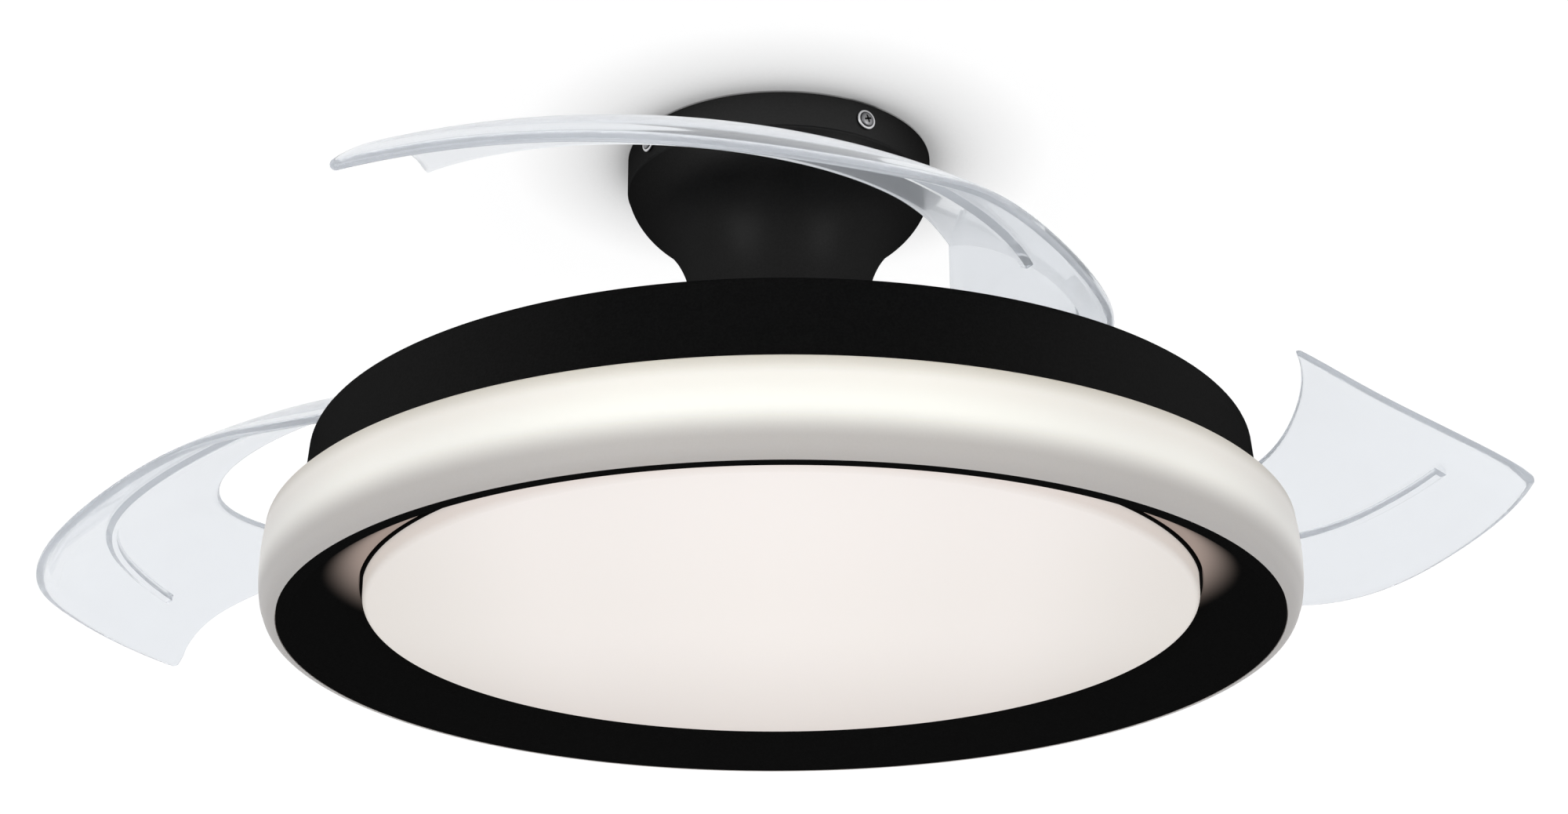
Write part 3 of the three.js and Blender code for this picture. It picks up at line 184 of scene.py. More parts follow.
def prism(name, outline, z0, z1):
    n = len(outline)
    verts = [(x, y, z0) for x, y in outline] + [(x, y, z1) for x, y in outline]
    faces = [tuple(range(n))[::-1], tuple(range(n, 2 * n))]
    faces += [(i, (i + 1) % n, n + (i + 1) % n, n + i) for i in range(n)]
    if outline_area(outline) < 0:
        faces = [f[::-1] for f in faces]
    return make_object(name, verts, faces, 30)


def circle(cx, cy, r, n=40):
    return [(cx + r * math.cos(2 * math.pi * i / n), cy + r * math.sin(2 * math.pi * i / n))
            for i in range(n)]


def bezier(p0, p1, p2, p3, steps):
    out = []
    for i in range(steps + 1):
        u = i / steps
        w = 1 - u
        out.append(tuple(w ** 3 * a + 3 * w * w * u * b + 3 * w * u * u * c + u ** 3 * d
                         for a, b, c, d in zip(p0, p1, p2, p3)))
    return out


def offset_line(line, distance):
    out = []
    for i, (x, y) in enumerate(line):
        x0, y0 = line[max(i - 1, 0)]
        x1, y1 = line[min(i + 1, len(line) - 1)]
        dx, dy = x1 - x0, y1 - y0
        n = math.hypot(dx, dy)
        out.append((x - dy / n * distance, y + dx / n * distance))
    return out


def round_corners(points, radius, steps):
    """Replaces each corner of a closed profile by a short arc."""
    out = []
    n = len(points)
    for i, p in enumerate(points):
        a, b = points[i - 1], points[(i + 1) % n]
        va = (a[0] - p[0], a[1] - p[1])
        vb = (b[0] - p[0], b[1] - p[1])
        la, lb = math.hypot(*va), math.hypot(*vb)
        reach = min(radius, la * 0.45, lb * 0.45)
        start = (p[0] + va[0] / la * reach, p[1] + va[1] / la * reach)
        end = (p[0] + vb[0] / lb * reach, p[1] + vb[1] / lb * reach)
        for k in range(steps + 1):
            u = k / steps
            w = 1 - u
            out.append((w * w * start[0] + 2 * w * u * p[0] + u * u * end[0],
                        w * w * start[1] + 2 * w * u * p[1] + u * u * end[1]))
    return out


def fix_normals(obj):
    """Turns all faces outwards, also on a mesh that is inside out as a whole."""
    bm = bmesh.new()
    bm.from_mesh(obj.data)
    bmesh.ops.recalc_face_normals(bm, faces=bm.faces)
    if bm.calc_volume(signed=True) < 0:
        bmesh.ops.reverse_faces(bm, faces=bm.faces)
    bm.to_mesh(obj.data)
    bm.free()


def apply_boolean(obj, tool, operation):
    bpy.context.view_layer.update()
    modifier = obj.modifiers.new("cut", "BOOLEAN")
    modifier.object = tool
    modifier.operation = operation
    modifier.solver = "MANIFOLD"
    depsgraph = bpy.context.evaluated_depsgraph_get()
    result = bpy.data.meshes.new_from_object(obj.evaluated_get(depsgraph))
    obj.modifiers.clear()
    old = obj.data
    obj.data = result
    bpy.data.meshes.remove(old)
    bpy.data.objects.remove(tool)


def outward(azimuth):
    """Level direction away from the axis, and the turn that brings Z into it."""
    a = math.radians(azimuth)
    out = Vector((math.cos(a), math.sin(a), 0))
    return out, out.to_track_quat("Z", "Y").to_matrix().to_4x4()


def drill_side(obj, azimuths, radius, z, r0, r1):
    """Cuts small round holes through a thin wall, along the radius."""
    for azimuth in azimuths:
        bpy.ops.mesh.primitive_cylinder_add(vertices=32, radius=radius * MM, depth=(r1 - r0) * MM)
        tool = bpy.context.object
        out, turn = outward(azimuth)
        middle = out * ((r0 + r1) / 2 * MM) + Vector((0, 0, z * MM))
        tool.matrix_world = Matrix.Translation(middle) @ turn
        apply_boolean(obj, tool, "DIFFERENCE")


# ---------------------------------------------------------------- material helpers

def new_material(name):
    material = bpy.data.materials.new(name)
    material.use_nodes = True
    tree = material.node_tree
    tree.nodes.clear()
    return material, tree


def node(tree, kind, **values):
    made = tree.nodes.new(kind)
    for key, value in values.items():
        setattr(made, key, value)
    return made


def principled(tree, **inputs):
    shader = node(tree, "ShaderNodeBsdfPrincipled")
    for key, value in inputs.items():
        shader.inputs[key.replace("_", " ")].default_value = value
    output = node(tree, "ShaderNodeOutputMaterial")
    tree.links.new(shader.outputs["BSDF"], output.inputs["Surface"])
    return shader


def surface_of(tree):
    return next(n for n in tree.nodes if n.type == "OUTPUT_MATERIAL").inputs["Surface"]


def ramp(tree, stops):
    made = node(tree, "ShaderNodeValToRGB")
    elements = made.color_ramp.elements
    while len(elements) < len(stops):
        elements.new(0.5)
    for element, (position, colour) in zip(elements, stops):
        element.position = position
        element.color = (*colour, 1.0)
    return made


def calculate(tree, operation, *values):
    """A Math node's result; each value is a socket or a number."""
    made = node(tree, "ShaderNodeMath", operation=operation)
    for socket, value in zip(made.inputs, values):
        if isinstance(value, (int, float)):
            socket.default_value = value
        else:
            tree.links.new(value, socket)
    return made.outputs[0]


def map_range(tree, value, limits, levels=(0.0, 1.0), kind="LINEAR"):
    """Takes a value between two limits to a level between two others."""
    made = node(tree, "ShaderNodeMapRange", interpolation_type=kind)
    for name, number in zip(("From Min", "From Max", "To Min", "To Max"), (*limits, *levels)):
        made.inputs[name].default_value = number
    tree.links.new(value, made.inputs["Value"])
    return made.outputs["Result"]


def object_axes(tree):
    """The piece's own coordinates, whole and split."""
    coords = node(tree, "ShaderNodeTexCoord").outputs["Object"]
    split = node(tree, "ShaderNodeSeparateXYZ")
    tree.links.new(coords, split.inputs["Vector"])
    return coords, split.outputs


def axis_distance(tree, coords):
    """Distance from the piece's Z axis."""
    flat = node(tree, "ShaderNodeVectorMath", operation="MULTIPLY")
    flat.inputs[1].default_value = (1, 1, 0)
    length = node(tree, "ShaderNodeVectorMath", operation="LENGTH")
    tree.links.new(coords, flat.inputs[0])
    tree.links.new(flat.outputs[0], length.inputs[0])
    return length.outputs["Value"]


def colour_product(tree, first, second):
    made = node(tree, "ShaderNodeMix", data_type="RGBA", blend_type="MULTIPLY")
    made.inputs[0].default_value = 1.0
    tree.links.new(first, made.inputs[6])
    tree.links.new(second, made.inputs[7])
    return made.outputs[2]


def grain(tree, shader, scale, distance, strength=0.4, detail=3.0):
    """Fine surface grain: bump, from noise in object space."""
    coords = node(tree, "ShaderNodeTexCoord")
    noise = node(tree, "ShaderNodeTexNoise")
    noise.inputs["Scale"].default_value = scale
    noise.inputs["Detail"].default_value = detail
    bump = node(tree, "ShaderNodeBump")
    bump.inputs["Strength"].default_value = strength
    bump.inputs["Distance"].default_value = distance
    tree.links.new(coords.outputs["Object"], noise.inputs["Vector"])
    tree.links.new(noise.outputs["Fac"], bump.inputs["Height"])
    tree.links.new(bump.outputs["Normal"], shader.inputs["Normal"])
    return noise.outputs["Fac"]


def roughness_from(tree, shader, noise, low, high):
    tree.links.new(map_range(tree, noise, (0.3, 0.7), (low, high)), shader.inputs["Roughness"])


def speckled(tree, shader, noise, dark, light):
    colours = ramp(tree, [(0.35, dark), (0.65, light)])
    tree.links.new(noise, colours.inputs["Fac"])
    tree.links.new(colours.outputs["Color"], shader.inputs["Base Color"])


def grey(level):
    return (level, level, level)


# ---------------------------------------------------------------- materials

def coated_metal(name, dark, light, rough, gloss, sides=None, band=None):
    """Powder-coated steel: matt with a faint orange peel and a weak gloss. The gloss is one
    share, or a painted sheen that goes between two shares for two distances from the middle
    plane, given in sides. On a band above a height the painted sheen is stronger."""
    material, tree = new_material(name)
    shader = principled(tree, Metallic=0.0)
    shader.inputs["Specular IOR Level"].default_value = 0.0
    noise = grain(tree, shader, 900.0, 0.00005)
    roughness_from(tree, shader, noise, rough - 0.05, rough + 0.06)
    speckled(tree, shader, noise, grey(dark), grey(light))
    sheen = node(tree, "ShaderNodeBsdfGlossy")
    sheen.inputs["Roughness"].default_value = rough
    mix = node(tree, "ShaderNodeMixShader")
    # Painted sheen: the gloss share follows the distance from the middle plane and the height.
    if sides:
        _, axes = object_axes(tree)
        aside = calculate(tree, "ABSOLUTE", axes["X"])
        share = map_range(tree, aside, sides, gloss, "SMOOTHSTEP")
        if band:
            height, painted_sheen_gain = band
            above = map_range(tree, axes["Z"], (height - 0.0015, height), (1.0, painted_sheen_gain))
            share = calculate(tree, "MULTIPLY", share, above)
        tree.links.new(share, mix.inputs["Fac"])
    else:
        mix.inputs["Fac"].default_value = gloss
    tree.links.new(shader.outputs[0], mix.inputs[1])
    tree.links.new(sheen.outputs[0], mix.inputs[2])
    tree.links.new(mix.outputs[0], surface_of(tree))
    return material


def spilled_light(material, colour, ends, lean):
    """Adds the glow that the central light throws on the slope of the inner ring. It grows
    along Y between two ends, which lean further towards -Y away from the light."""
    tree = material.node_tree
    shader = next(n for n in tree.nodes if n.type == "BSDF_PRINCIPLED")
    coords, axes = object_axes(tree)
    away = axis_distance(tree, coords)
    foot = FUNNEL_INNER_R * MM
    leaning = calculate(tree, "MULTIPLY_ADD", away, lean, -lean * foot)
    along = calculate(tree, "ADD", leaning, axes["Y"])
    spread = map_range(tree, along, ends, kind="SMOOTHSTEP")
    slope = map_range(tree, away, (0.2365, 0.2335), kind="SMOOTHSTEP")
    strength = calculate(tree, "MULTIPLY", spread, slope)
    tree.links.new(strength, shader.inputs["Emission Strength"])
    shader.inputs["Emission Color"].default_value = (*colour, 1)
    return material


def plain_metal(name, dark, light, rough, scale=500.0, distance=0.00003):
    material, tree = new_material(name)
    shader = principled(tree, Metallic=1.0)
    noise = grain(tree, shader, scale, distance, 0.35)
    roughness_from(tree, shader, noise, rough - 0.06, rough + 0.08)
    speckled(tree, shader, noise, dark, light)
    return material


def screw_plating_painted_shade(name):
    """Bright plating, with painted shade in the cross recess and in the groove round the head,
    and darker over the dome and at the washer's rim. Heights and radii are the screw's own."""
    material, tree = new_material(name)
    shader = principled(tree, Metallic=1.0, Roughness=0.3)
    coords, axes = object_axes(tree)
    away = axis_distance(tree, coords)
    # Painted shade in the groove round the head, at 0.715 to 0.76 of the reach.
    rings = ramp(tree, [
        (0.0, grey(0.2)), (0.45, (0.3, 0.3, 0.31)), (0.66, (0.16, 0.16, 0.17)),
        (0.715, grey(0.03)), (0.76, grey(0.06)), (0.82, (0.75, 0.75, 0.77)),
        (0.95, (0.7, 0.7, 0.72)), (1.0, grey(0.3))])
    reach = map_range(tree, away, (0.0, SCREW_WASHER_R * MM))
    tree.links.new(reach, rings.inputs["Fac"])
    # Painted shade deep in the cross recess.
    inside = calculate(tree, "LESS_THAN", away, 0.00235)
    recess_painted_shade = map_range(tree, axes["Z"], (0.0013, 0.0019), (0.03, 1.0))
    shade = node(tree, "ShaderNodeMix", data_type="FLOAT")
    shade.inputs[2].default_value = 1.0
    tree.links.new(inside, shade.inputs[0])
    tree.links.new(recess_painted_shade, shade.inputs[3])
    colour = colour_product(tree, rings.outputs["Color"], shade.outputs[0])
    tree.links.new(colour, shader.inputs["Base Color"])
    return material


def moulded(name, dark, light, rough, scale=700.0):
    material, tree = new_material(name)
    shader = principled(tree, Metallic=0.0)
    noise = grain(tree, shader, scale, 0.00004, 0.35)
    roughness_from(tree, shader, noise, rough - 0.05, rough + 0.05)
    speckled(tree, shader, noise, dark, light)
    return material


def clear_blade(name, veil):
    """Clear moulded plastic with a milky, cool veil that thickens and thins a little. The veil
    carries a painted glow: a weak emission, though the blade is no lamp.
    """
    material, tree = new_material(name)
    shader = principled(tree, Roughness=0.06, IOR=1.42)
    shader.inputs["Transmission Weight"].default_value = 1.0
    noise = grain(tree, shader, 14.0, 0.0004, 0.10, 1.0)
    speckled(tree, shader, noise, (0.90, 0.92, 0.945), (0.93, 0.945, 0.965))
    haze = node(tree, "ShaderNodeBsdfDiffuse")
    through = node(tree, "ShaderNodeBsdfTranslucent")
    for side in (haze, through):
        side.inputs["Color"].default_value = (0.56, 0.59, 0.64, 1)
    both = node(tree, "ShaderNodeMixShader")
    both.inputs["Fac"].default_value = 0.5
    # Painted light: a weak cool emission added to the veil.
    painted_glow = node(tree, "ShaderNodeEmission")
    painted_glow.inputs["Color"].default_value = (0.94, 0.97, 1.0, 1)
    painted_glow.inputs["Strength"].default_value = 0.27
    veil_and_painted_glow = node(tree, "ShaderNodeAddShader")
    share = ramp(tree, [(0.3, grey(veil - 0.03)), (0.7, grey(veil + 0.03))])
    mix = node(tree, "ShaderNodeMixShader")
    links = tree.links
    links.new(haze.outputs[0], both.inputs[1])
    links.new(through.outputs[0], both.inputs[2])
    links.new(both.outputs[0], veil_and_painted_glow.inputs[0])
    links.new(painted_glow.outputs[0], veil_and_painted_glow.inputs[1])
    links.new(noise, share.inputs["Fac"])
    links.new(share.outputs["Color"], mix.inputs["Fac"])
    links.new(shader.outputs[0], mix.inputs[1])
    links.new(veil_and_painted_glow.outputs[0], mix.inputs[2])
    links.new(mix.outputs[0], surface_of(tree))
    return material


def glowing_opal(name, base, along, ends, stops, painted_shade_ends, painted_shade_stops):
    """Opal plastic lit from inside. The glow follows one axis of the piece, times a painted shade
    that darkens it with the distance to the side, away from the middle plane."""
    material, tree = new_material(name)
    shader = principled(tree, Roughness=0.45)
    shader.inputs["Specular IOR Level"].default_value = 0.2
    shader.inputs["Subsurface Weight"].default_value = 0.25
    shader.inputs["Subsurface Radius"].default_value = (0.006, 0.005, 0.004)
    noise = grain(tree, shader, 1200.0, 0.00003, 0.3)
    speckled(tree, shader, noise, base, tuple(min(1.0, c * 1.02) for c in base))
    _, axes = object_axes(tree)
    aside = calculate(tree, "ABSOLUTE", axes["X"])
    glow_and_painted_shade = []
    # The first ramp is the glow; the second is painted shade, darker away from the middle plane.
    for value, limits, colours in ((axes[along], ends, stops), (aside, painted_shade_ends, painted_shade_stops)):
        glow = ramp(tree, colours)
        glow.color_ramp.interpolation = "EASE"
        tree.links.new(map_range(tree, value, limits), glow.inputs["Fac"])
        glow_and_painted_shade.append(glow.outputs["Color"])
    tree.links.new(colour_product(tree, *glow_and_painted_shade), shader.inputs["Emission Color"])
    shader.inputs["Emission Strength"].default_value = 1.0
    return material


# Painted sheen: on the housing it grows towards the sides; on the canopy it is strongest in the
# middle and on the top band.
BLACK = coated_metal("black_coat", 0.0035, 0.006, 0.42, (0.003, 0.011), (0.05, 0.21))
CANOPY_BLACK = coated_metal("black_canopy", 0.0035, 0.006, 0.4, (0.014, 0.006), (0.04, 0.078),
                            band=(CANOPY_BAND_Z * MM, 2.3))
BLACK_SOFT = coated_metal("black_coat_soft", 0.003, 0.005, 0.5, 0.0025)
BLACK_FUNNEL = spilled_light(coated_metal("black_coat_lit", 0.003, 0.005, 0.5, 0.0025),
                             (0.36, 0.285, 0.25), (0.02, -0.075), 4.5)
ZINC = plain_metal("zinc_plate", (0.42, 0.43, 0.45), (0.56, 0.57, 0.59), 0.34)
BRIGHT = plain_metal("bright_screw", (0.62, 0.63, 0.65), (0.78, 0.79, 0.8), 0.2, 900.0, 0.00001)
SCREW_HEAD = screw_plating_painted_shade("screw_plating_painted_shade")
STEEL = plain_metal("spring_steel", (0.35, 0.36, 0.38), (0.5, 0.5, 0.52), 0.28, 1500.0)
BRONZE = plain_metal("sintered_bronze", (0.33, 0.2, 0.09), (0.46, 0.3, 0.14), 0.5, 1800.0)
COPPER = plain_metal("enamelled_copper", (0.4, 0.14, 0.05), (0.55, 0.22, 0.08), 0.35,
                     2500.0, 0.0001)
LAMINATION = plain_metal("laminated_steel", (0.2, 0.2, 0.21), (0.34, 0.34, 0.36), 0.45,
                         2500.0, 0.0001)
RUBBER = moulded("rubber", grey(0.012), grey(0.02), 0.8, 1500.0)
WHITE = moulded("white_moulding", (0.72, 0.72, 0.7), (0.78, 0.78, 0.76), 0.5)
BOARD = moulded("white_board", (0.78, 0.78, 0.76), (0.84, 0.84, 0.82), 0.4, 1200.0)
CLEAR = clear_blade("clear_polycarbonate", 0.22)
# Ring: the glow is brightest in the middle of the wall; painted shade darkens it towards the
# sides.
RING_GLOW = glowing_opal(
    "opal_ring", (0.55, 0.54, 0.53), "Z", (-0.260, -0.216),
    [(0.0, (0.10, 0.085, 0.075)), (0.16, (0.12, 0.105, 0.09)), (0.5, (0.62, 0.62, 0.56)),
     (0.78, (0.56, 0.54, 0.48)), (1.0, (0.28, 0.25, 0.18))],
    (0.05, 0.25), [(0.0, grey(1)), (0.6, (0.80, 0.79, 0.80)), (1.0, (0.44, 0.43, 0.45))])
# Disc: the glow gets darker towards +Y; painted shade darkens it towards the sides.
DISC_GLOW = glowing_opal(
    "opal_disc", (0.55, 0.535, 0.52), "Y", (-0.2, 0.2),
    [(0.0, (0.56, 0.52, 0.50)), (0.5, (0.53, 0.49, 0.465)), (1.0, (0.415, 0.37, 0.345))],
    (0.0, 0.2), [(0.0, grey(1)), (0.5, grey(0.95)), (1.0, (0.78, 0.78, 0.76))])

NODE_MATERIALS = {
    "ceiling_bracket": ZINC, "hanger_flange": ZINC, "fixed_shaft": ZINC,
    "shaft_lock_pin": STEEL, "receiver_box": WHITE, "light_driver": WHITE,
    "main_light_board": BOARD, "ring_light_board": BOARD, "motor_cover_upper": BLACK_SOFT,
    "motor_cover_lower": BLACK_SOFT, "magnet_ring": RUBBER, "stator_core": LAMINATION,
    "stator_winding": COPPER, "bearing_upper": STEEL, "bearing_lower": STEEL,
    "blade_carrier": ZINC, "lamp_chassis": ZINC, "shaft_lock_nut": ZINC,
    "canopy_cover": BLACK, "lamp_housing": BLACK, "funnel_ring": BLACK_SOFT,
    "disc_bezel": BLACK_SOFT, "ring_diffuser": RING_GLOW, "disc_cover": DISC_GLOW,
}
FAMILY_MATERIALS = (("blade_", CLEAR), ("pivot_bush", BRONZE), ("closed_stop", RUBBER),
                    ("open_stop", RUBBER), ("return_spring", STEEL), ("canopy_screw", BRIGHT))


def dress(obj, material):
    obj.data.materials.clear()
    obj.data.materials.append(material)


for name, obj in NODES.items():
    family = [material for start, material in FAMILY_MATERIALS if name.startswith(start)]
    dress(obj, NODE_MATERIALS.get(name) or (family or [ZINC])[0])


# ---------------------------------------------------------------- skins of the round pieces

def skin(obj, material, body, replaced):
    dress(obj, material)
    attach(obj, body)
    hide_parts(replaced)


def canopy_profile():
    waist = (65.4, -38.5)
    shoulder = bezier((78, -19), (78, -20.5), (75.2, -30.7), waist, 20)
    neck = bezier(waist, (60.6, -42.5), (48.2, -54.2), (45.1, -78.4), 20)
    outer = ([(CANOPY_R, CANOPY_EDGE_Z), (CANOPY_R, CANOPY_BAND_Z)] + shoulder + neck[1:]
             + [(CANOPY_FOOT_R, CANOPY_FOOT_Z)])
    inner = offset_line(outer, -SHEET)
    inner[0] = (CANOPY_R - SHEET, CANOPY_EDGE_Z)
    inner[1] = (CANOPY_R - SHEET, CANOPY_BAND_Z)
    inner[-1] = (inner[-1][0], CANOPY_FOOT_Z)
    return outer + inner[::-1]


def housing_profile():
    """A pan with a dished top, a rounded top edge and a slightly flared wall."""
    top, foot = HOUSING_TOP_Z, RING_TOP_Z - 4
    dish, flare = top - 4, RING_TOP_Z + 3
    edge = HOUSING_EDGE_R
    arc = [(HOUSING_R - edge + edge * math.sin(a), top - edge + edge * math.cos(a))
           for a in np.linspace(0, math.pi / 2, 7)]
    outside = ([(SHAFT_HOLE_R, dish), (218, dish), (220, dish + 1), (222.5, top)] + arc
               + [(HOUSING_FOOT_R, flare), (HOUSING_FOOT_R, foot)])
    inside = [(HOUSING_FOOT_R - SHEET, foot), (HOUSING_FOOT_R - SHEET, flare),
              (HOUSING_R - SHEET, top - edge), (229.9, top - 2.1), (228.5, top - SHEET),
              (224, top - SHEET), (221.2, dish - 1.2), (219, dish - SHEET),
              (SHAFT_HOLE_R, dish - SHEET)]
    return outside + inside


def ring_profile():
    outer = ([(235.3, RING_TOP_Z), (249, RING_TOP_Z), (250.3, RING_TOP_Z - 1.2)]
             + bezier((250.6, RING_TOP_Z - 4), (252.4, RING_TOP_Z - 14), (252.6, RIM_Z + 16),
                      (250.8, RIM_Z + 8), 16)
             + bezier((250.4, RIM_Z + 7), (249, RIM_Z + 2.6), (248, RIM_Z + 0.3),
                      (243.3, RIM_Z), 10))
    inner = offset_line(outer, -RING_WALL)
    inner[0] = (235.3, RING_TOP_Z - RING_WALL)
    inner[1] = (inner[1][0], RING_TOP_Z - RING_WALL)
    inner[-1] = (243.3, RIM_Z + RING_WALL)
    return outer + inner[::-1]


def funnel_profile():
    """Flat lip, slope up to the bezel, and an upright wall."""
    wall = FUNNEL_INNER_R + FUNNEL_WALL
    lower = [(FUNNEL_R, RIM_Z), (236.8, RIM_Z), (236.2, RIM_Z + 0.6), (205.6, RIM_Z + 19.4),
             (FUNNEL_INNER_R, RIM_Z + 20.2), (FUNNEL_INNER_R, INNER_TOP_Z)]
    upper = [(FUNNEL_R, RIM_Z + FUNNEL_WALL), (237.6, RIM_Z + FUNNEL_WALL), (237, RIM_Z + 2),
             (207, RIM_Z + 20.4), (wall, RIM_Z + 21.4), (wall, INNER_TOP_Z)]
    return round_corners(lower + upper[::-1], 0.5, 3)


def disc_profile():
    face, top, edge = DISC_FACE_Z, DISC_FACE_Z + 21, DISC_EDGE_R
    flat_r, inner_r = DISC_R - edge, DISC_R - DISC_WALL
    arc = [(flat_r + edge * math.sin(a), face + edge - edge * math.cos(a))
           for a in np.linspace(0.2, math.pi / 2, 7)]
    return ([(0, face), (100, face), (flat_r, face)] + arc
            + [(DISC_R, top), (inner_r, top), (inner_r, face + 3.5),
               (inner_r - 1.5, face + DISC_WALL), (0, face + DISC_WALL)])


def bezel_profile():
    flange = INNER_TOP_Z - 1.4
    return round_corners([(BEZEL_INNER_R, BEZEL_FOOT_Z), (BEZEL_OUTER_R, BEZEL_FOOT_Z),
                          (BEZEL_OUTER_R, INNER_TOP_Z), (BEZEL_FLANGE_R, INNER_TOP_Z),
                          (BEZEL_FLANGE_R, flange), (BEZEL_INNER_R, flange)], 0.4, 2)


canopy = lathe("canopy_skin", canopy_profile())
drill_side(canopy, SCREW_AZ, SCREW_HOLE_R, SCREW_Z, 70, 84)
smooth_by_angle(canopy, 30)
skin(canopy, CANOPY_BLACK, "mount_and_lamp", "canopy_cover")

for name, profile, segments, material, slot, replaced in (
        ("housing_skin", housing_profile(), 192, BLACK, "black_paint", "lamp_housing"),
        ("ring_skin", ring_profile(), 256, RING_GLOW, "opal_plastic", "ring_diffuser"),
        ("funnel_skin", funnel_profile(), 256, BLACK_FUNNEL, "black_paint", "funnel_ring"),
        ("disc_skin", disc_profile(), 256, DISC_GLOW, "opal_plastic", "disc_cover"),
        ("bezel_skin", bezel_profile(), 256, BLACK_SOFT, "black_paint", "disc_bezel")):
    skin(lathe(name, profile, segments), material, "mount_and_lamp", replaced)


def screw_skin(index, azimuth):
    """Cross-recess pan head with a washer face, along the radius."""
    shank = [(0, -9), (1.0, -9), (1.7, -8), (1.7, 0)]
    washer = [(SCREW_WASHER_R, 0), (SCREW_WASHER_R, 0.5), (SCREW_WASHER_R - 0.2, 0.82),
              (4.5, SCREW_WASHER_T), (SCREW_DOME_R, SCREW_WASHER_T)]
    dome = [(SCREW_DOME_R * math.cos(a), SCREW_WASHER_T + 1.3 * math.sin(a))
            for a in np.linspace(0.1, math.pi / 2 - 0.01, 12)]
    obj = lathe(f"canopy_screw_skin_{index}", shank + washer + dome + [(0, 2.2)], 64, 40)
    for turn in (20, 110):
        bpy.ops.mesh.primitive_cube_add(size=1)
        tool = bpy.context.object
        tool.matrix_world = (Matrix.Translation((0, 0, SCREW_SLOT_Z * MM))
                             @ Matrix.Rotation(math.radians(turn), 4, "Z")
                             @ Matrix.Diagonal((*(side * MM for side in SCREW_SLOT), 1)))
        apply_boolean(obj, tool, "DIFFERENCE")
    out, turned = outward(azimuth)
    seat = out * (SCREW_SEAT_R * MM) + Vector((0, 0, SCREW_Z * MM))
    obj.matrix_world = Matrix.Translation(seat) @ turned
    smooth_by_angle(obj, 30)
    skin(obj, SCREW_HEAD, "mount_and_lamp", f"canopy_screw_{index}")


for index, azimuth in enumerate(SCREW_AZ):
    screw_skin(index + 1, azimuth)


# ---------------------------------------------------------------- blades

def smooth_line(values):
    """Natural cubic spline through evenly spaced values, over a share from 0 to 1."""
    last = len(values) - 1
    bend = [0.0] * (last + 1)
    carry = [0.0] * (last + 1)
    for i in range(1, last):
        pivot = 4 - carry[i - 1]
        pull = 6 * (values[i + 1] - 2 * values[i] + values[i - 1])
        carry[i] = 1 / pivot
        bend[i] = (pull - bend[i - 1]) / pivot
    for i in range(last - 1, 0, -1):
        bend[i] -= carry[i] * bend[i + 1]

    def at(share):
        x = min(max(share, 0.0), 1.0) * last
        i = min(int(x), last - 1)
        u = x - i
        w = 1 - u
        return (values[i] * w + values[i + 1] * u
                + ((w ** 3 - w) * bend[i] + (u ** 3 - u) * bend[i + 1]) / 6)
    return at


outer_r, outer_h = smooth_line(OUTER_R), smooth_line(OUTER_H)
inner_r, inner_h = smooth_line(INNER_R), smooth_line(INNER_H)
rib_across = smooth_line(RIB_ACROSS)


def corner_round(t, reach, degrees):
    into = max(0.0, 1 - t / reach)
    return degrees * (1 - math.sqrt(max(0.0, 1 - into * into)))


def blade_top(s, t):
    """Point on the sheet's upper face."""
    wave = sum(height * math.sin((i + 1) * math.pi * t) for i, height in enumerate(TIP_WAVES))
    rounding = corner_round(t, 0.05, 1) + corner_round(1 - t, 0.03, 0.5)
    tip = TIP_OUTER_AZ + (TIP_INNER_AZ - TIP_OUTER_AZ) * t + wave - rounding
    azimuth = -math.radians(ROOT_AZ + (tip - ROOT_AZ) * s)
    r = outer_r(s) * (1 - t) + inner_r(s) * t
    camber = CAMBER[0] + (CAMBER[1] - CAMBER[0]) * s
    h = outer_h(s) + (inner_h(s) - outer_h(s)) * (1 - (1 - t) ** camber)
    h += TIP_LIFT * math.sin(math.pi * t) * s * s
    return np.array((r * math.cos(azimuth), r * math.sin(azimuth), h - DROP))


def blade_normal(s, t):
    e = 1e-3
    along = blade_top(min(s + e, 1), t) - blade_top(max(s - e, 0), t)
    across = blade_top(s, min(t + e, 1)) - blade_top(s, max(t - e, 0))
    n = np.cross(along, across)
    n /= np.linalg.norm(n)
    return -n if n[2] < 0 else n


def sheet_thickness(t):
    """Thicker in the bead along the outer edge."""
    if t >= BEAD_END:
        return SHEET_T
    swell = math.sin(math.pi * (0.25 + 0.75 * t / BEAD_END))
    return SHEET_T + (BEAD_T - SHEET_T) * max(0.0, swell)


def edge_rounding(distance, radius):
    into = max(0.0, 1 - distance / radius)
    return math.sqrt(max(0.0, 1 - into * into))


def blade_steps(count, length, radius):
    """Shares from 0 to 1 with extra ones close to both ends, for a rounded edge."""
    near = [radius / length * x for x in (0.0, 0.08, 0.3, 0.6, 1.0)]
    middle = [near[-1] + (1 - 2 * near[-1]) * i / count for i in range(1, count)]
    return near + middle + [1 - x for x in reversed(near)]


